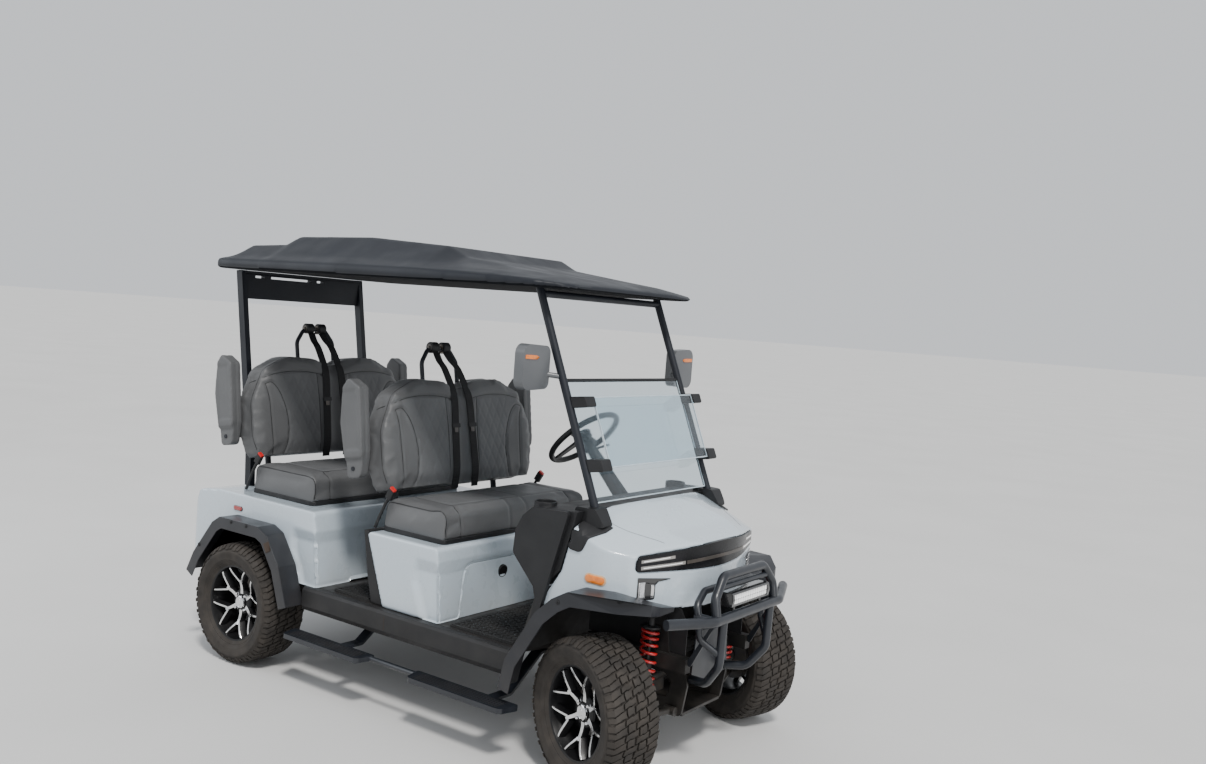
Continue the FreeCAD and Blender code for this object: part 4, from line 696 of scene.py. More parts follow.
def hit(tree, start, aim, lift=0.0):
    """Where a line first meets a surface, lifted off it, and the way the surface faces."""
    point, normal, _, _ = tree.ray_cast(start, aim.normalized())
    if point is None:
        raise ValueError("no surface from %s along %s" % (tuple(start), tuple(aim)))
    if normal.dot(aim) > 0:
        normal = -normal
    return point + normal * lift, normal


def add_line(form, tree, rays, width, thickness, lift=0.0, material=0):
    """A thin flat line laid on a surface."""
    found = [hit(tree, start, aim, lift) for start, aim in rays]
    return add_ribbon(form, [point for point, _ in found], [normal for _, normal in found], width, thickness, material)


def add_patch(form, tree, outline, ray, height=0.003, edge=0.0015, rings=3, steps=6, material=0, sink=0.003):
    """A plate bent over a surface. ray(a, b) gives the start and the aim for a point of its outline."""
    points = rounded(outline, steps)
    middle = sum(points, Vector((0, 0))) / len(points)
    levels = [([point + (middle - point).normalized() * pull for point in points], rise) for pull, rise in
              ((0.0, -sink), (0.0, height - edge), (edge * 0.3, height - edge * 0.3), (edge, height))]
    inner = levels[-1][0]
    levels += [([point.lerp(middle, index / (rings + 1)) for point in inner], height) for index in range(1, rings + 1)]
    built = [[form.verts.new(hit(tree, *ray(*point), rise)[0]) for point in ring] for ring, rise in levels]
    place, normal = hit(tree, *ray(*middle), height)
    top, last = form.verts.new(place), built[-1]
    faces = band(form, built)
    faces += [form.faces.new((last[index - 1], last[index], top)) for index in range(len(last))]
    settled(form, faces, material)
    # An open shell may come out inside out, so it is turned to face along its surface.
    if faces[-1].normal.dot(normal) < 0:
        bmesh.ops.reverse_faces(form, faces=faces)


def side_ray(sign):
    """Rays from a side towards the middle, for points as (forward, up)."""
    return lambda a, b: (Vector((a, sign * 1.2, b)), Vector((0, -sign, 0)))


def stadium(long_half, tall_half, radius=None, tilt=0.0, centre=(0, 0)):
    """A rounded bar's outline about a centre, turned by tilt degrees."""
    radius = tall_half * 0.98 if radius is None else radius
    turn = Matrix.Rotation(math.radians(tilt), 2)
    corners = [turn @ Vector(corner[:2]) + Vector(centre)
               for corner in rectangle(-long_half, long_half, -tall_half, tall_half)]
    return [(*corner, radius) for corner in corners]


def build_markers(name, tree, keys, rows, tilt, centre):
    """Side lamps. Rows: half length, half height, height, edge, rings, material."""
    form = bmesh.new()
    for sign in SIDES:
        for long_half, tall_half, height, edge, rings, material in rows:
            add_patch(form, tree, stadium(long_half, tall_half, tilt=tilt, centre=centre), side_ray(sign), height, edge,
                      rings, material=material)
    finished(name, form, keys, 40)


# Painted body: nose, seat pod and rear body, moulded with soft edges

def nose_ray(angle, level, reach=1.6):
    """A ray from in front of the nose towards its middle line, by an angle in degrees."""
    way = Vector((math.cos(math.radians(angle)), math.sin(math.radians(angle)), 0))
    return Vector((0.95, 0, level)) + way * reach, -way


# Strips on the headlight bar: from and to angle, from and to level, width, lift, material
STRIPS = ((58.0, 34.0, 0.853, 0.862, 0.0135, 0.0006, 0), (58.0, 41.0, 0.8785, 0.8885, 0.0120, 0.0006, 0),
          (57.0, 44.0, 0.8785, 0.8880, 0.0030, 0.0014, 1), (57.0, 36.0, 0.853, 0.8615, 0.0030, 0.0014, 1))
SMOKE_END = 33
STRIP_THICKNESS = 0.0016
LAMP_SCALE = 0.5
# One side of the hood's shut line, as (forward, distance from the middle)
HOOD_LINE = ((0.985, 0.425), (1.06, 0.415), (1.12, 0.395), (1.175, 0.362), (1.215, 0.335), (1.247, 0.316))


def build_nose():
    nose_tree = skin_of(moulded("dressed_nose", ("nose_body",), "paint", 0.0062, 5))
    bar_tree = skin_of(edged("dressed_headlight_bar", ("headlight_bar",), "bar_black", 0.0025, 3, 40))
    # Bar: two pale strips at each end with a lit line in each, and a smoked strip between them
    form = bmesh.new()
    for sign in SIDES:
        for first, last, low, high, width, lift, material in STRIPS:
            rays = [nose_ray(sign * (first + (last - first) * share), low + (high - low) * share)
                    for share in shares(16)]
            add_line(form, bar_tree, rays, width, STRIP_THICKNESS, lift, material)
    rays = [nose_ray(SMOKE_END * part, 0.862 + 0.006 * (1 - part ** 2))
            for part in (share * 2 - 1 for share in shares(80))]
    add_line(form, bar_tree, rays, 0.014, STRIP_THICKNESS, 0.0012, 2)
    finished("bar_strips", form, "lamp_strip lamp_white smoke", 60)
    # Lamp below each end of the bar: a clear lens with dark parts and a black wedge that runs inwards
    form = bmesh.new()
    far, near, tip = (math.radians(angle) * LAMP_SCALE for angle in (59.0, 50.8, 43.0))
    span = near - far
    for sign in SIDES:
        def ray(a, b, sign=sign):
            return nose_ray(sign * math.degrees(a / LAMP_SCALE), b)

        add_patch(form, nose_tree, [(far, 0.724, 0.009), (far, 0.814, 0.006), (near, 0.808), (near, 0.724, 0.009)],
                  ray, 0.0022, 0.0012, 3, material=1)
        add_patch(form, nose_tree, [(far, 0.800), (far, 0.816, 0.002), (tip, 0.8035), (tip - 0.001, 0.8015),
                                    (near - 0.012, 0.794, 0.008), (near, 0.783)], ray, 0.0034, 0.001, 2, material=1)
        for start, end, low, high, height, material in ((0.06, 0.40, 0.730, 0.797, 0.0036, 0),
                                                        (0.74, 0.92, 0.730, 0.784, 0.0036, 0),
                                                        (0.10, 0.34, 0.735, 0.792, 0.0050, 2)):
            add_patch(form, nose_tree, rectangle(far + span * start, far + span * end, low, high, 0.004), ray, height,
                      0.0008, 2, material=material)
    finished("corner_lamps", form, "chrome gloss_black lens", 40)
    build_markers("side_markers", nose_tree, "orange marker_rim",
                  ((0.047, 0.0205, 0.0035, 0.0022, 1, 1), (0.041, 0.0150, 0.0062, 0.0030, 2, 0)), -3, (1.088, 0.797))
    # Hood shut line: a thin dark ribbon laid on the paint, a painted shadow of the gap
    form = bmesh.new()
    for sign in SIDES:
        rays = [(Vector((x, sign * y, 1.4)), -UP) for x, y in smooth_line(HOOD_LINE, 5)]
        add_line(form, nose_tree, rays, 0.0022, 0.0009)
    finished("hood_seams", form, "blue_grey", 60)


POD_SIDE, POD_FRONT, POD_KNEE = 0.580, 0.288, 0.660
POD_LEDGE, POD_FALL = 0.708, 0.011
LEDGE_FOOT = 0.652
WALL_LOW, WALL_HIGH, LOW_LEAN, HIGH_LEAN = 0.60, 0.63, 0.45, 0.12
REAR_FRONT = REAR_AXLE + 0.455


def undercut(level, high):
    """Nought above a ledge, one below its slope."""
    return min(max((high - level) / (high - LEDGE_FOOT), 0), 1)


def scooped(front, high, start, width, depth, fall):
    """A shape whose sides fall back below a ledge, behind a leaning edge, and whose front falls back too."""
    def shape(place, normal):
        ledge = undercut(place.z, high)
        side = smoothstep(0.4, 0.8, abs(normal.y)) if abs(place.y) > 0.55 else 0
        ahead = smoothstep(0.4, 0.8, normal.x) if place.x > front else 0
        lean = start + max(WALL_LOW - place.z, 0) * LOW_LEAN + max(place.z - WALL_HIGH, 0) * HIGH_LEAN
        reach = ledge * min(max((place.x - lean) / width, 0), 1)
        return place - Vector((ahead * fall * ledge, math.copysign(side * depth * reach, place.y), 0))
    return shape


def close_slot(form):
    """Fills the slot between the pod's side walls and its dark front panel."""
    for low, high in ((0.545, POD_SIDE - 0.0001), (-POD_SIDE + 0.0001, -0.545)):
        add_slab(form, "XZ", low, high, [(0.100, 0.4466), (0.290, 0.4466), (0.272, 0.700), (0.100, 0.700)])


def build_pod():
    moulded("dressed_seat_pod", ("seat_pod",), "paint", 0.0078, 4,
            scooped(0.2, POD_LEDGE, 0.130, 0.028, 0.0200, POD_FALL), close_slot)
    back = edged("dressed_pod_panels", ("seat_pod_panels",), "trim", 0.004, 2)
    form = bmesh.new()
    form.from_mesh(back.data)
    front = form.copy()
    bmesh.ops.delete(form, geom=[vertex for vertex in form.verts if vertex.co.x > 0.1], context="VERTS")
    form.to_mesh(back.data)
    form.free()
    # Front panel in body colour, a little behind the pod's front and with its slope
    bmesh.ops.delete(front, geom=[vertex for vertex in front.verts if vertex.co.x < 0.1], context="VERTS")
    for vertex in front.verts:
        if vertex.co.x > 0.275:
            slope = (POD_KNEE - vertex.co.z) * 0.093
            vertex.co.x = POD_FRONT - 0.0025 + slope - POD_FALL * undercut(vertex.co.z, POD_LEDGE)
    panel = finished("pod_front_panel", front, "paint", 40)
    bevel(panel, 0.003, 2, 32)
    # Closed round port in the panel
    tree = skin_of(panel)
    port = Vector((0.6, -0.142, 0.612))
    above, below = (hit(tree, port + UP * rise, -FORWARD)[0] for rise in (0.034, -0.034))
    turn = Matrix.Translation((above.lerp(below, 0.5).x, port.y, port.z)) @ Matrix.Rotation(math.radians(-90), 4, "Z")
    turn = turn @ Matrix.Rotation(math.radians(-5), 4, "X")
    form = bmesh.new()
    add_turned(form, [(0.0300, -0.006), (0.0300, 0.003), (0.0285, 0.0048), (0.0255, 0.0048), (0.0245, 0.0024),
                      (0, 0.0018)], 40, turn)
    finished("charge_port", form, "rim_black", 40)


def build_rear_body():
    body = moulded("dressed_rear_body", ("rear_body",), "paint", 0.0095, 4,
                   scooped(REAR_FRONT - 0.1, 0.706, REAR_FRONT - 0.190, 0.034, 0.0220, 0.014))
    build_markers("rear_markers", skin_of(body), "red_lens gloss_black",
                  ((0.036, 0.0125, 0.0035, 0.002, 1, 1), (0.032, 0.0095, 0.006, 0.003, 2, 0)), 0, (-1.071, 0.728))


# Dark trim: dash, cowl sides, flares, rockers, steps and lamps

# Columns: piece, node, finish, slot, bevel width, bevel segments, least angle
EDGED = (
    ("dash", "dash", "trim", "black_trim", 0.004, 3, 32),
    ("cowl", "cowl_side_panels", "trim", "black_trim", 0.004, 3, 32),
    ("front_flares", "front_flares", "flare", "black_trim", 0.0025, 2, 25),
    ("rear_flares", "rear_flares", "flare", "black_trim", 0.0025, 2, 25),
    ("rockers", "rocker_panels", "trim", "black_trim", 0.004, 3, 20),
    ("steps", "side_steps", "tube", "frame_steel", 0.005, 3, 32),
    ("rear_pillars", "rear_pillars", "roof", "roof_plastic", 0.004, 2, 32),
    ("tail_lamps", "tail_lamps", "red_lens", "lamp_red", 0.005, 3, 32),
    ("clamps", "windshield_clamps", "trim", "black_trim", 0.003, 2, 32),
    ("mirrors", "mirrors", "mirror_shell", "mirror_grey", 0.009, 4, 40),
    ("led_bar", "led_bar", "gloss_black", "lamp_black", 0.0025, 2, 32),
)
BOLT = ((0.010125, -0.002), (0.010125, 0.0012), (0.0075, 0.0016), (0.0069, 0.0035), (0.0045, 0.005),
        (0.00255, 0.005), (0.00225, 0.00275), (0, 0.00275))
# The nose's corner from above, as (forward, distance from the middle)
CORNER = [Vector(point) for point in
          ((1.100, 0.5560), (1.140, 0.5510), (1.175, 0.5360), (1.205, 0.5080), (1.228, 0.4660), (1.250, 0.4080),
           (1.272, 0.3460), (1.292, 0.2880), (1.312, 0.2300))]
FLARE_STRETCH, FLARE_INNER, FLARE_TOP = 0.99, 0.5553, 0.770


def wrap_flares(mesh):
    """Bends the front flares' tips round the nose's corner and thins them towards the bumper."""
    begin = CORNER[0].x
    lengths = [0.0]
    for start, end in zip(CORNER, CORNER[1:]):
        lengths.append(lengths[-1] + (end - start).length)
    for vertex in mesh.vertices:
        x, y, z = vertex.co
        if x <= begin:
            continue
        run = (x - begin) * FLARE_STRETCH
        index = max(number for number, length in enumerate(lengths[:-1]) if length <= run)
        share = (run - lengths[index]) / (lengths[index + 1] - lengths[index])
        along = heading(CORNER, index).lerp(heading(CORNER, index + 1), share).normalized()
        spot = CORNER[index].lerp(CORNER[index + 1], share) + Vector((-along.y, along.x)) * (abs(y) - FLARE_INNER)
        top = FLARE_TOP - 0.018 * smoothstep(1.29, 1.475, x)
        thin = 1 - 0.72 * smoothstep(1.16, 1.46, x)
        fall = 0.066 * smoothstep(1.12, 1.46, x)
        vertex.co = Vector((spot.x, math.copysign(1, y) * spot.y, top - (top - z) * thin - fall))


def build_trim():
    trees = {}
    for name, node, key, slot, width, segments, angle in EDGED:
        piece = edged("dressed_" + name, (node,), key, width, segments, angle)
        if name == "front_flares":
            wrap_flares(piece.data)
        trees[name] = skin_of(piece)
    form = bmesh.new()
    for sign in SIDES:
        ray = side_ray(sign)
        for name, x, z in (("front_flares", 1.235, 0.7475), ("front_flares", 1.012, 0.712),
                           ("rear_flares", -0.981, 0.685), ("rear_flares", -0.865, 0.685),
                           ("rear_flares", -1.225, 0.53)):
            if meets(trees[name], *ray(x, z)):
                add_turned(form, BOLT, 16, turned_to(*hit(trees[name], *ray(x, z))))
        # Split line half way along each rocker, and a square reflector on the rear flare
        add_line(form, trees["rockers"], [ray(0.02, 0.336 + 0.102 * share) for share in shares(8)], 0.0024, 0.0008,
                 material=1)
        add_patch(form, trees["rear_flares"], stadium(0.019, 0.024, 0.004, 28, (-0.699, 0.612)), ray, 0.003, 0.001, 1,
                  material=1)
    finished("trim_details", form, "trim reflector", 40)
    # Strip that closes the rear cross panel up to the roof
    form = bmesh.new()
    add_slab(form, "XY", 1.8985, 1.9146, rectangle(-1.431, -1.399, -0.399, 0.399))
    finished("rear_header", form, "roof", 30)
    # Splash shields between the front wheels and the frame
    form = bmesh.new()
    for low, high in ((0.2310, 0.2350), (-0.2350, -0.2310)):
        add_slab(form, "XZ", low, high, [(0.855, 0.4862), (1.335, 0.4862), (1.335, 0.610, 0.03), (1.300, 0.672, 0.02),
                                         (0.900, 0.672, 0.03), (0.855, 0.600, 0.03)])
    finished("splash_shields", form, "trim", 30)
    build_mirror_parts(trees["mirrors"])


def build_covers():
    """Black covers that run from the pillars' feet over the shoulder and down the nose's sides."""
    tree = skin_of(bpy.data.objects["dressed_nose"])
    form = bmesh.new()
    pivot_y, pivot_z, reach = 0.400, 0.862, 0.160
    for sign in SIDES:
        def ray(a, b, sign=sign):
            out = Vector((0, sign * math.cos(b / reach), math.sin(b / reach)))
            return Vector((a, sign * pivot_y, pivot_z)) + out * 0.6, -out

        outline = [(0.986, 0.205), (0.968, 0.150), (0.956, 0.100), (0.948, 0.034, 0.020), (1.014, 0.026, 0.030),
                   (1.050, 0.088, 0.05), (1.074, 0.150, 0.04), (1.076, 0.205)]
        add_patch(form, tree, outline, ray, 0.007, 0.004, 5, 8)
    finished("pillar_tails", form, "trim", 40)


def clip_to(low, high, start, end):
    """The part of a slanting line inside a rectangle, or None."""
    first, last = 0.0, 1.0
    for axis in range(2):
        span = end[axis] - start[axis]
        one, two = (low[axis] - start[axis]) / span, (high[axis] - start[axis]) / span
        first, last = max(first, min(one, two)), min(last, max(one, two))
    if first >= last:
        return None
    return [Vector(start).lerp(Vector(end), share) for share in (first, last)]


def add_bars(form, start, end, level, places, width, thickness):
    """Straight bars along X at distances across."""
    for y in places:
        add_ribbon(form, [Vector((start, y, level)), Vector((end, y, level))], UP, width, thickness)


RIB_PITCH, RIB_LEAN = 0.034, 0.77


def build_mat_ribs():
    """Crossing ribs on the floor mats, with a bar along each edge."""
    form = bmesh.new()
    top = max(vertex.co.z for vertex in frame["nodes"]["floor_mats"].data.vertices)
    for start, end in ((REAR_AXLE + 0.555, -0.158), (0.362, FRONT_AXLE - 0.44)):
        for lean in SIDES:
            for number in range(118):
                y = -2.0 + RIB_PITCH * number
                line = clip_to((start, -0.535), (end, 0.535), (start - 0.2, y), (start + 1.2, y + lean * RIB_LEAN))
                if line and (line[1] - line[0]).length >= 0.02:
                    add_ribbon(form, [point.to_3d() + UP * (top + 0.001) for point in line], UP, 0.0075, 0.004)
        add_bars(form, start, end, top + 0.0012, (-0.548, 0.548), 0.012, 0.005)
    finished("mat_ribs", form, "mat", 30)


def build_step_treads():
    """Fine ribs along the side steps."""
    form = bmesh.new()
    for sign in SIDES:
        for start, end in ((REAR_AXLE + 0.43, REAR_AXLE + 0.88), (REAR_AXLE + 1.24, FRONT_AXLE - 0.372)):
            add_bars(form, start, end, 0.2443, [sign * (0.648 + row * 0.0145) for row in range(5)], 0.0045, 0.0016)
    finished("step_treads", form, "trim", 30)


# Roof, panes and mirrors

LINER_BELOW = -0.55
PANE_SLOPE = 0.42
PANE_NORMAL = Vector((1, 0, PANE_SLOPE)).normalized()
PANE_FOOT, PANE_LEVEL = FRONT_AXLE - 0.158, 1.056
EDGE_WIDTH, EDGE_THICKNESS, EDGE_INSET = 0.0046, 0.0066, 0.002


def pane_point(level, forward=0.0):
    """A point in the middle of the windshield's plane, or in front of it."""
    return Vector((PANE_FOOT - PANE_SLOPE * (level - PANE_LEVEL), 0, level)) + PANE_NORMAL * forward


def build_top():
    roof = moulded("dressed_roof", ("roof",), "roof liner", 0.0125, 3)
    for polygon in roof.data.polygons:
        polygon.material_index = 1 if polygon.normal.z < LINER_BELOW else 0
    form = bmesh.new()
    # Columns: from and to level, distance in front, half width
    for low, high, forward, half in ((1.066, 1.540, 0.0, 0.4287), (1.180, 1.455, 0.078, 0.385)):
        bottom, top = pane_point(low, forward), pane_point(high, forward)
        along = (top - bottom).normalized() * EDGE_INSET
        for place in (bottom + along, top - along):
            add_ribbon(form, [place - LEFT * half, place + LEFT * half], PANE_NORMAL, EDGE_WIDTH, EDGE_THICKNESS)
        for side in (-half + EDGE_INSET, half - EDGE_INSET):
            add_ribbon(form, [bottom + LEFT * side, top + LEFT * side], PANE_NORMAL, EDGE_WIDTH, EDGE_THICKNESS)
    finished("pane_edges", form, "acrylic_edge", 30)
    # Dark channel along the fold at the top of the lower pane
    form = bmesh.new()
    place, side = pane_point(1.543), LEFT * 0.425
    add_rod(form, place - side, place + side, 0.008, 16, 0.002)
    finished("screen_rail", form, "trim", 30)


def build_mirror_parts(tree):
    """Turn lamp on the front of each mirror and glass on its back."""
    form = bmesh.new()
    for sign in SIDES:
        def front_ray(a, b, sign=sign):
            return Vector((1.5, sign * a, b)), -FORWARD

        add_patch(form, tree, [(0.566, 1.6245), (0.590, 1.6245), (0.638, 1.6255, 0.003), (0.638, 1.6415, 0.003),
                               (0.590, 1.6415), (0.566, 1.6395), (0.553, 1.633)], front_ray, 0.003, 0.0015, 1)
        middle = sign * 0.564
        add_slab(form, "YZ", 0.6905, 0.6935, rectangle(middle - 0.070, middle + 0.070, 1.508, 1.676, 0.026), material=1)
    finished("mirror_parts", form, "orange mirror_glass", 40)


# Seats: cushions and backrests swell by cloth simulation, then take their seams

TILT = math.radians(10)
LEAN_FORWARD = Vector((math.cos(TILT), 0, math.sin(TILT)))
LEAN_UP = Vector((-math.sin(TILT), 0, math.cos(TILT)))
BACK_HALF = 0.060


class Bench:
    """A seat: the foot of its backrest, its base level and where its cushion starts and ends."""

    def __init__(self, name, foot, foot_level, base, rear, front):
        self.name, self.base, self.rear, self.front = name, base, rear, front
        self.foot = Vector((foot, 0, foot_level))

    def leaned(self, x, y, z):
        """A point in the frame of the backrest, in the cart's frame."""
        return self.foot + LEAN_FORWARD * x + LEAN_UP * z + LEFT * y

    def upright(self, point):
        """The other way round."""
        away = point - self.foot
        return Vector((away.dot(LEAN_FORWARD), point.y, away.dot(LEAN_UP)))


BENCHES = (
    Bench("front", -0.165, 0.9266, 0.770, -0.141, 0.253),
    Bench("rear", REAR_AXLE - 0.172, 0.9566, 0.800, REAR_AXLE - 0.150, REAR_AXLE + 0.322),
)
# Seams of one half of a backrest, and its rim, as (distance from the middle, height)
BACK_SEAMS = (
    ((0.512, 0.365), (0.470, 0.405), (0.400, 0.432), (0.300, 0.447), (0.200, 0.448), (0.110, 0.438), (0.062, 0.425)),
    ((0.446, 0.385), (0.428, 0.310), (0.422, 0.200), (0.418, 0.100), (0.412, 0.012)),
    ((0.446, 0.385), (0.405, 0.392), (0.360, 0.345), (0.325, 0.260), (0.312, 0.170), (0.322, 0.080), (0.352, 0.010)),
    ((0.112, 0.436), (0.104, 0.300), (0.104, 0.150), (0.110, 0.012)),
)
BACK_RIM = ((0.522, 0.030), (0.534, 0.110), (0.5365, 0.220), (0.532, 0.300), (0.510, 0.380), (0.470, 0.440),
            (0.410, 0.490), (0.330, 0.522), (0.240, 0.534), (0.150, 0.533), (0.080, 0.520), (0.030, 0.500))
SEAM_LINES = [smooth_line(line, 5) for line in BACK_SEAMS]
CUSHION_SIDE, CUSHION_MIDDLE, CUSHION_END = 0.400, 0.062, 0.085
QUILT_PITCH, QUILT_LEAN = 0.105, 1.9
PAD_VOXEL, PAD_ROUNDS, PAD_INSET = 0.0135, 4, 0.007
PRESSURE, STIFFNESS, MOST_SWELL, CLOTH_FRAMES = 4.0, 22, 0.012, 20
# How wide and how deep each kind of line is pressed into a pad, and how far the full parts rise
BACK_SEAM, VALLEY, QUILT, BOLSTER_RISE = (0.0085, 0.0055), (0.034, 0.012), (0.0045, 0.0026), 0.006
CUSHION_SEAM, CROWN_HALF, CROWN_RISE = (0.008, 0.0045), 0.2, 0.004


def soft_start(node):
    """A slightly shrunken copy of a pad's CAD shape, with even faces."""
    piece = remeshed(node_form(node), PAD_VOXEL, PAD_ROUNDS, "dressed_" + node)
    shaped(piece.data, lambda place, normal: place - normal * PAD_INSET)
    return piece


def swell(starts, held):
    """Runs the pads' cloth together and caps how far each point may move."""
    scene = bpy.context.scene
    before = {piece: [vertex.co.copy() for vertex in piece.data.vertices] for piece in starts}
    for piece in starts:
        group = piece.vertex_groups.new(name="held")
        group.add([index for index, co in enumerate(before[piece]) if held(piece, co)], 1.0, "REPLACE")
        cloth = piece.modifiers.new("cloth", "CLOTH")
        settings = cloth.settings
        settings.use_pressure, settings.uniform_pressure_force = True, PRESSURE
        settings.effector_weights.gravity = 0
        settings.vertex_group_mass = "held"
        settings.tension_stiffness = settings.compression_stiffness = STIFFNESS
        settings.bending_stiffness, settings.quality = 1.5, 5
        cloth.collision_settings.use_self_collision = False
        cloth.point_cache.frame_start, cloth.point_cache.frame_end = 1, CLOTH_FRAMES
    scene.frame_start, scene.frame_end = 1, CLOTH_FRAMES
    for number in range(1, CLOTH_FRAMES + 1):
        scene.frame_set(number)
    graph = bpy.context.evaluated_depsgraph_get()
    for piece in starts:
        after = [vertex.co.copy() for vertex in piece.evaluated_get(graph).data.vertices]
        piece.modifiers.clear()
        for vertex, old, new in zip(piece.data.vertices, before[piece], after):
            move = new - old
            if move.length > MOST_SWELL:
                move *= MOST_SWELL / move.length
            vertex.co = old + move
        piece.vertex_groups.clear()
    scene.frame_set(1)


def near_line(point, line):
    """Distance from a flat point to a run of points."""
    best = 9.0
    for start, end in zip(line, line[1:]):
        span = end - start
        share = min(max((point - start).dot(span) / span.length_squared, 0), 1)
        best = min(best, (start + span * share - point).length)
    return best


def seamed_back(bench):
    """Seams, quilting, the valley between the two places and the fuller outer bolster of a backrest."""
    def shape(place, normal):
        local = bench.upright(place)
        if local.x < 0:
            return place
        across = abs(local.y)
        seam = max(peak(near_line(Vector((across, local.z)), line), BACK_SEAM[0]) for line in SEAM_LINES)
        rise = smoothstep(0.38, 0.47, across) * (1 - smoothstep(0.50, 0.54, across)) * BOLSTER_RISE
        quilt = 0.0
        if 0.115 < across < 0.33 and 0.02 < local.z < 0.43:
            for lean in (QUILT_LEAN, -QUILT_LEAN):
                phase = (local.z + lean * across) / QUILT_PITCH
                quilt = max(quilt, peak(abs(phase - round(phase)) * QUILT_PITCH / math.hypot(1, lean), QUILT[0]))
        rise -= seam * BACK_SEAM[1] + peak(across, VALLEY[0]) * VALLEY[1] + quilt * QUILT[1]
        return place + LEAN_FORWARD * max(normal.dot(LEAN_FORWARD), 0) * rise
    return shape


def seamed_cushion(bench):
    """Seams and a slight crown of a cushion."""
    middle = (bench.rear + bench.front) / 2
    width, depth = CUSHION_SEAM

    def shape(place, normal):
        across, seam, lift = abs(place.y), 0.0, 0.0
        if normal.z > 0.3 or normal.x > 0.3:
            seam = max(peak(across - CUSHION_SIDE, width), peak(across - CUSHION_MIDDLE, width) * 0.7)
        if normal.z > 0.5:
            if across < CUSHION_SIDE:
                seam = max(seam, *(peak(place.x - x, width) for x in
                                   (bench.rear + CUSHION_END, bench.front - CUSHION_END)))
            crown = (1 - ((place.x - middle) / CROWN_HALF) ** 2) * (1 - smoothstep(0.36, 0.50, across))
            lift = CROWN_RISE * normal.z * max(crown, 0)
        return place + UP * lift - normal * depth * seam
    return shape


def in_insert(bench, kind, spot, normal):
    """Whether a face belongs to a pad's lighter insert."""
    if kind == "cushion":
        return (normal.z > 0.5 and abs(spot.y) < CUSHION_SIDE
                and bench.rear + CUSHION_END < spot.x < bench.front - CUSHION_END)
    local = bench.upright(spot)
    edge = 0.312 + 0.09 * smoothstep(0.17, 0.39, local.z) + 0.03 * (1 - smoothstep(0.0, 0.15, local.z))
    return local.x > 0.02 and 0.108 < abs(local.y) < min(edge, 0.40) and 0.0 < local.z < 0.44


def build_seats():
    starts = {soft_start("%s_%s" % (bench.name, kind)): (bench, kind)
              for bench in BENCHES for kind in ("cushion", "backrest")}

    def held(piece, co):
        bench, kind = starts[piece]
        return co.z < bench.base + 0.030 if kind == "cushion" else bench.upright(co).x < -BACK_HALF + 0.016

    swell(starts, held)
    for piece, (bench, kind) in starts.items():
        sub = piece.modifiers.new("sub", "SUBSURF")
        sub.levels = sub.render_levels = 1
        mesh = solved(piece).data
        shaped(mesh, seamed_back(bench) if kind == "backrest" else seamed_cushion(bench))
        mesh.update()
        bpy.data.objects.remove(piece)
        node = "%s_%s" % (bench.name, kind)
        made = finished("dressed_" + node, mesh, "vinyl insert", 60)
        for polygon in mesh.polygons:
            polygon.material_index = 1 if in_insert(bench, kind, polygon.center, polygon.normal) else 0
        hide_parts(node)
        form = bmesh.new()
        pipe = pipe_back if kind == "backrest" else pipe_cushion
        pipe(form, skin_of(made), bench)
        finished("piping_" + node, form, "piping", 60)


def smooth_even(points):
    """The points with small bumps evened out."""
    for _ in range(2):
        points = [points[0]] + [(a + b * 2 + c) / 4 for a, b, c in zip(points, points[1:], points[2:])] + [points[-1]]
    return points


def add_piping(form, tree, rays, radius, steps=0):
    """A thin tube where rays meet a pad's surface, leaving out those that miss it."""
    points = [hit(tree, *ray)[0] for ray in rays if meets(tree, *ray)]
    add_tube(form, smooth_line(points, steps) if steps else smooth_even(points), radius, 6)


def pipe_back(form, tree, bench):
    """Thin piping in a backrest's seams and round its rim."""
    for sign in SIDES:
        for line in BACK_SEAMS:
            add_piping(form, tree, [(bench.leaned(0.4, sign * a, b), -LEAN_FORWARD)
                                    for a, b in smooth_line(line, 6)], 0.0017)
    for sign in SIDES:
        rays = []
        for a, b in smooth_line(BACK_RIM, 6):
            out = Vector((a - 0.27, b - 0.27)).normalized()
            start, end = (bench.leaned(0.034, sign * (a + out.x * reach), b + out.y * reach) for reach in (0.2, -0.1))
            rays.append((start, end - start))
        add_piping(form, tree, rays, 0.0021)


def pipe_cushion(form, tree, bench):
    """Piping over a cushion's top and ends, and across it at its front and rear seams."""
    low, high, rear, front = bench.base + 0.030, bench.base + 0.1486, bench.rear, bench.front
    middle = Vector(((rear + front) / 2, 0, (low + high) / 2))
    profile = [Vector((a, 0, b)) for a, b in (
        (rear, low), (rear, low + 0.04), (rear + 0.004, high - 0.02), (rear + 0.03, high), (rear + 0.10, high),
        (rear + 0.18, high), (front - 0.14, high), (front - 0.08, high), (front - 0.045, high - 0.003),
        (front - 0.016, high - 0.018), (front - 0.003, high - 0.045), (front, high - 0.08), (front, low))]
    for sign in SIDES:
        for y, radius in ((0.4985, 0.0024), (CUSHION_SIDE, 0.0014)):
            outs = [(spot - middle).normalized() for spot in profile]
            add_piping(form, tree, [(spot + out * 0.3 + LEFT * sign * y, -out) for spot, out in zip(profile, outs)],
                       radius, 5)
    for x in (rear + CUSHION_END, front - CUSHION_END):
        add_piping(form, tree, [(Vector((x, -0.398 + 0.796 * share, bench.base + 0.5)), -UP) for share in shares(40)],
                   0.0014)


def add_plate(form, turn, plane, low, high, outline, material):
    """A slab in a frame of its own."""
    faces = add_slab(form, plane, low, high, outline, 3, material)
    bmesh.ops.transform(form, matrix=turn, verts=list({vertex for face in faces for vertex in face.verts}))


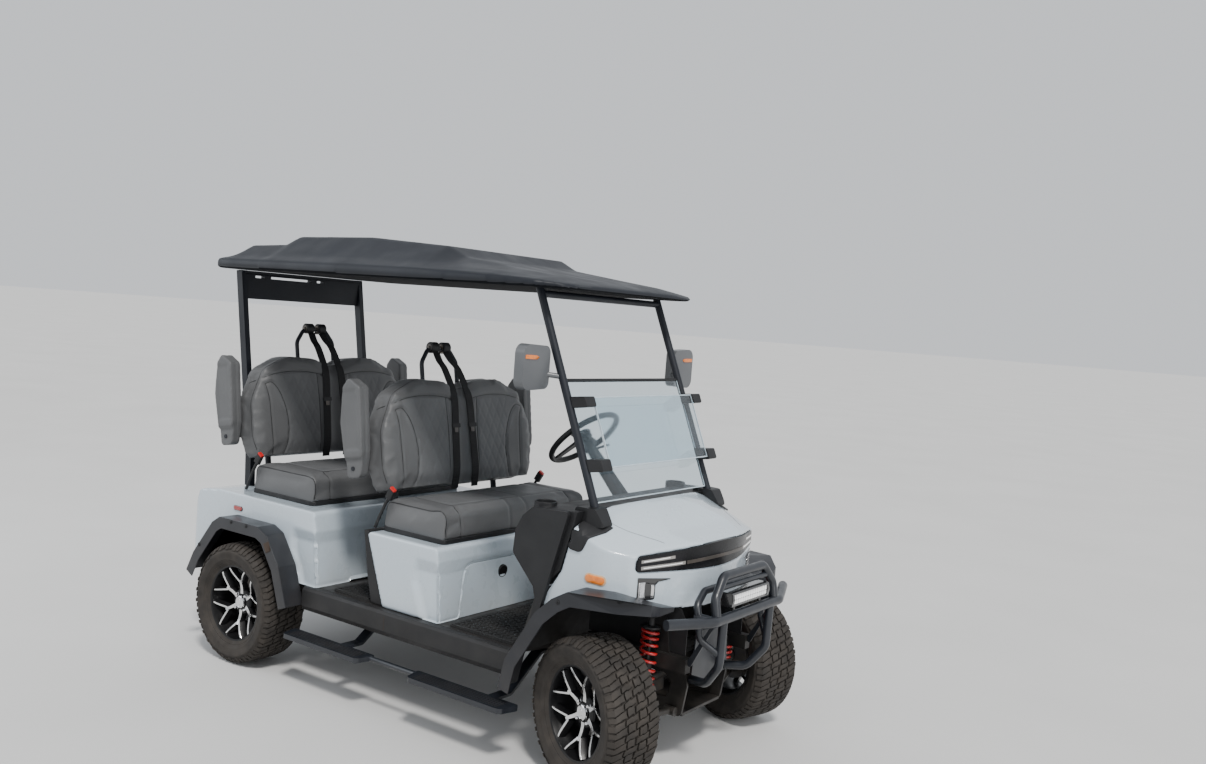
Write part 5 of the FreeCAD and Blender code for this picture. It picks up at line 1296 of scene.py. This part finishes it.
ARM_OUTSIDE, ARM_STEP, ARM_PANEL = 0.585, 0.012, 0.003
ARM_SEAM, ARM_SEAM_WIDTH, ARM_SEAM_DEPTH = 0.579, 0.0035, 0.0022


def armrest_shape(bench, sign):
    """A seam round an armrest, and on its outer side a thinner lower part and a shallow panel."""
    def shape(place, normal):
        local = bench.upright(place)
        outward = sign * place.y
        move = Vector()
        if abs(normal.y) < 0.6:
            move -= normal * ARM_SEAM_DEPTH * peak(outward - ARM_SEAM, ARM_SEAM_WIDTH)
        if outward > ARM_OUTSIDE:
            step = 1 - smoothstep(0.162, 0.186, local.z)
            panel = min(smoothstep(0.205, 0.225, local.z), 1 - smoothstep(0.475, 0.500, local.z),
                        smoothstep(-0.113, -0.100, local.x), 1 - smoothstep(-0.028, -0.012, local.x))
            move.y -= sign * (ARM_STEP * step + ARM_PANEL * panel)
        return place + move
    return shape


def build_seat_parts():
    """Plinths, buckles, belts and armrests."""
    for bench in BENCHES:
        form = bmesh.new()
        rear, front = bench.rear + 0.004, bench.front - 0.006
        add_slab(form, "XY", bench.base + 0.0006, bench.base + 0.022,
                 [(rear, -0.514, 0.02), (front, -0.514, 0.03), (front, 0.514, 0.03), (rear, 0.514, 0.02)])
        bevel(finished("plinth_" + bench.name, form, "trim", 30), 0.003, 2)
        form = bmesh.new()
        for sign in SIDES:
            root = Vector((bench.foot.x - 0.004, sign * 0.528, bench.base + 0.012))
            head = bench.leaned(BACK_HALF + 0.020, sign * 0.5310, -0.004)
            neck = root.lerp(head, 0.62) - FORWARD * 0.004
            add_tube(form, smooth_line([root, neck, head]), 0.0075, 12)
            turn = turned_to(head, head - neck, UP)
            for low, high, half, wide, material in ((-0.012, 0.036, 0.0105, 0.017, 0),
                                                    (0.0355, 0.0445, 0.0090, 0.0150, 1)):
                add_plate(form, turn, "XY", low, high, rectangle(-wide, wide, -half, half, 0.004), material)
        finished("buckles_" + bench.name, form, "trim red_button", 40)
        build_belts(bench)
        for side, sign in (("left", 1), ("right", -1)):
            node = "armrest_%s_%s" % (bench.name, side)
            arm = moulded("dressed_" + node, (node,), "vinyl", 0.0052, 5, armrest_shape(bench, sign),
                          body=node)


HOOP_X = -0.0753
BELT_TOP, BELT_RUN = 0.545, 0.520
BELT_WIDTH, BELT_THICKNESS, BELT_LIFT = 0.046, 0.0022, 0.0032
RETRACTOR = ((0, -0.024), (0.024, -0.024), (0.028, -0.020), (0.028, 0.020), (0.024, 0.024), (0, 0.024))
RETRACTOR_CAP = ((0, 0.0242), (0.017, 0.0242), (0.017, 0.0262), (0.006, 0.0262), (0.006, 0.030), (0, 0.030))


def build_belts(bench):
    """Webbing from the hoop over the backrest, with retractors, their bracket and tongue plates."""
    back = skin_of(bpy.data.objects["dressed_%s_backrest" % bench.name])

    def belt_ray(sign, height):
        across = sign * (0.048 + 0.022 * (BELT_TOP - height) / BELT_RUN)
        return bench.leaned(0.4, across, height), -LEAN_FORWARD

    belt, hard = bmesh.new(), bmesh.new()
    for sign in SIDES:
        points = [bench.leaned(HOOP_X + 0.016, sign * 0.034, 0.672), bench.leaned(-0.030, sign * 0.042, 0.622),
                  bench.leaned(0.006, sign * 0.047, 0.580)]
        rays = [belt_ray(sign, BELT_TOP - BELT_RUN * share) for share in shares(14)]
        points += [hit(back, *ray, BELT_LIFT)[0] for ray in rays if meets(back, *ray)]
        last = bench.upright(points[-1])
        line = smooth_line(points + [bench.leaned(last.x - 0.006, last.y, -0.004)], 3)
        normals = [heading(line, index).cross(LEFT) for index in range(len(line))]
        normals = [normal if normal.dot(LEAN_FORWARD) > 0 else -normal for normal in normals]
        add_ribbon(belt, line, normals, BELT_WIDTH, BELT_THICKNESS)
        # Round retractor at the hoop's top
        turn = Matrix.Translation(bench.leaned(HOOP_X + 0.004, sign * 0.040, 0.694)) @ Matrix.Rotation(-TILT, 4, "Y")
        add_turned(hard, RETRACTOR, 28, turn)
        for flip in SIDES:
            add_turned(hard, RETRACTOR_CAP, 20, turn @ Matrix.Scale(flip, 4, LEFT), 1)
        # Tongue plate part of the way down
        point, _ = hit(back, *belt_ray(sign, 0.300), 0.0052)
        turn = Matrix.Translation(point) @ Matrix.Rotation(-TILT, 4, "Y")
        add_plate(hard, turn, "YZ", 0.0, 0.004, rectangle(-0.027, 0.027, -0.011, 0.009, 0.004), 0)
        add_plate(hard, turn, "YZ", 0.0008, 0.0030,
                  [(-0.011, -0.034, 0.003), (0.011, -0.034, 0.003), (0.013, -0.008), (-0.013, -0.008)], 1)
    # Bracket between the two retractors, and its stub on the hoop
    for x, z, half, radius, segments, chamfer in ((HOOP_X + 0.004, 0.694, 0.075, 0.0085, 16, 0.001),
                                                  (HOOP_X + 0.018, 0.668, 0.010, 0.006, 12, 0)):
        add_rod(hard, bench.leaned(x, -half, z), bench.leaned(x, half, z), radius, segments, chamfer, 1)
    made = finished("webbing_" + bench.name, belt, "webbing", 40)
    finished("belt_parts_" + bench.name, hard, "trim cast", 30)
    if bench.name == "rear":
        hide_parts("seat_belts")


# Springs, front light bar, steering wheel

COIL_TURNS, COIL_STEPS = 8.5, 170


def build_springs():
    form = bmesh.new()
    x = FRONT_AXLE + 0.065
    for sign in SIDES:
        foot, top = Vector((x, sign * 0.331, AXLE_HEIGHT - 0.050)), Vector((x, sign * 0.304, 0.648))
        length = (top - foot).length
        turn = turned_to(foot, top - foot)
        start, end = 0.096, length - 0.062
        # Damper: body, rod, top cup and their collars
        add_turned(form, [(0, 0.006), (0.017, 0.006), (0.017, start - 0.016), (0.039, start - 0.010),
                          (0.040, start - 0.004), (0.037, start), (0.020, start), (0.020, start + 0.12),
                          (0.0085, start + 0.124), (0.0085, end - 0.03), (0.016, end - 0.026), (0.016, end),
                          (0.036, end), (0.040, end + 0.003), (0.039, end + 0.009), (0.014, end + 0.014),
                          (0.014, length - 0.016), (0, length - 0.016)], 28, turn, 1)
        points = []
        for share in shares(COIL_STEPS):
            angle = TAU * COIL_TURNS * share
            rise = start + 0.005 + (end - start - 0.010) * (share - 0.04 * math.sin(TAU * share))
            points.append(turn @ Vector((0.0325 * math.cos(angle), rise, 0.0325 * math.sin(angle))))
        add_tube(form, points, 0.0058, 10)
        # Eye at the top and lug at the foot
        add_slab(form, "XZ", top.y - 0.013, top.y + 0.013, rectangle(x - 0.020, x + 0.020, 0.628, 0.668, 0.012), 5, 1)
        low, high = AXLE_HEIGHT - 0.0487, AXLE_HEIGHT - 0.022
        add_slab(form, "XZ", foot.y - 0.014, foot.y + 0.014,
                 [(x - 0.015, low), (x + 0.015, low), (x + 0.011, high), (x - 0.011, high)], 5, 1)
    springs = finished("dressed_springs", form, "red steel")
    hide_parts("front_shocks")


LED_FACE, LED_HALF, LED_LOW, LED_HIGH = 1.4795, 0.140, 0.711, 0.748


def build_light_bar():
    """Lit face of the light bar with its dividers, and cooling fins behind it."""
    form = bmesh.new()
    add_slab(form, "YZ", LED_FACE - 0.001, LED_FACE + 0.0015, rectangle(-LED_HALF, LED_HALF, LED_LOW, LED_HIGH, 0.003))
    middles = [-LED_HALF + 0.020 * index for index in range(15)]
    for outline in [rectangle(y - 0.0012, y + 0.0012, LED_LOW, LED_HIGH) for y in middles] + [
            rectangle(-LED_HALF, LED_HALF, 0.7284, 0.7306)]:
        add_slab(form, "YZ", LED_FACE, LED_FACE + 0.0040, outline, material=1)
    for fin in range(9):
        level = 0.704 + 0.0062 * fin
        add_slab(form, "XY", level, level + 0.0024, rectangle(1.4245, 1.4325, -0.150, 0.150), material=2)
    finished("led_parts", form, "lamp_white chrome gloss_black", 30)


def build_controls():
    edged("dressed_steering_wheel", ("steering_wheel",), "trim", 0.0025, 2, 40, "steering_wheel")
    axis = Vector(joints["steering_wheel_turn"]["axis"])
    form = bmesh.new()
    add_turned(form, [(0, 0.012), (0.044, 0.012), (0.046, 0.018), (0.040, 0.026), (0.020, 0.030), (0, 0.031)], 40,
               turned_to((FRONT_AXLE - 0.782, 0.300, 1.220), axis if axis.z > 0 else -axis))
    finished("wheel_hub", form, "gloss_black", 30, "steering_wheel")


def remove_defaults():
    for name in ("Cube", "Light", "Camera"):
        piece = bpy.data.objects.get(name)
        if piece and "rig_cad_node" not in piece:
            bpy.data.objects.remove(piece)


# Camera at the photo's viewpoint, soft lights and a pale floor

CAMERA_PLACE = Vector((3.5109, -4.0157, 1.8158))
CAMERA_LENS = 32.91
CAMERA_AZIMUTH, CAMERA_DIP, CAMERA_ROLL = (math.radians(angle) for angle in (35.325, 3.3955, 4.3472))
KEY_AIM = Vector((-0.50, 0.42, -0.95))
# Columns: name, place, aim, size, power, colour
AREA_LIGHTS = (
    ("fill", (-5.5, -4.5, 3.6), (0, 0, 0.8), 5.0, 120, (0.92, 0.96, 1.0)),
    ("front", (7.0, -1.5, 2.4), (0.5, 0, 0.8), 4.0, 110, (1.0, 0.99, 0.97)),
)


def build_camera():
    away = Vector((-math.sin(CAMERA_AZIMUTH), math.cos(CAMERA_AZIMUTH), 0))
    forward = away * math.cos(CAMERA_DIP) - UP * math.sin(CAMERA_DIP)
    right = Vector((math.cos(CAMERA_AZIMUTH), math.sin(CAMERA_AZIMUTH), 0))
    up = right.cross(forward)
    image_right = right * math.cos(CAMERA_ROLL) + up * math.sin(CAMERA_ROLL)
    image_up = up * math.cos(CAMERA_ROLL) - right * math.sin(CAMERA_ROLL)
    data = bpy.data.cameras.new("camera")
    data.lens, data.sensor_width = CAMERA_LENS, 36
    data.clip_start, data.clip_end = 0.05, 200
    camera = loose(data, "camera")
    turn = Matrix((image_right, image_up, -forward)).transposed().to_4x4()
    camera.matrix_world = Matrix.Translation(CAMERA_PLACE) @ turn
    bpy.context.scene.camera = camera


def add_light(name, kind, energy, colour, aim):
    light = loose(bpy.data.lights.new(name, kind), name)
    light.data.energy, light.data.color = energy, colour
    light.rotation_euler = aim.to_track_quat("-Z", "Y").to_euler()
    return light


def build_lights():
    world = bpy.data.worlds.new("studio")
    world.use_nodes = True
    background = world.node_tree.nodes["Background"].inputs
    background["Color"].default_value = (0.93, 0.96, 1.0, 1)
    background["Strength"].default_value = 0.86
    bpy.context.scene.world = world
    add_light("key", "SUN", 3.0, (1.0, 0.975, 0.94), KEY_AIM).data.angle = math.radians(9)
    for name, place, aim, wide, power, colour in AREA_LIGHTS:
        light = add_light(name, "AREA", power, colour, Vector(aim) - Vector(place))
        light.location = place
        light.data.shape, light.data.size = "DISK", wide


def build_floor():
    form = bmesh.new()
    bmesh.ops.create_circle(form, cap_ends=True, segments=64, radius=150)
    floor = loose(mesh_of(form, "floor"), "floor")
    finish = Finish("pale_floor", (0.60, 0.60, 0.595), 0.8, **spec(0.2))
    finish.clouds((0.575, 0.575, 0.57), 0.8).grain(60, 0.05, 0.001)
    floor.data.materials.append(finish.material)


remove_defaults()
dress_nodes()
build_wheels()
build_nose()
build_pod()
build_rear_body()
build_trim()
build_covers()
build_mat_ribs()
build_step_treads()
build_top()
build_seats()
build_seat_parts()
build_springs()
build_light_bar()
build_controls()
build_camera()
build_lights()
build_floor()
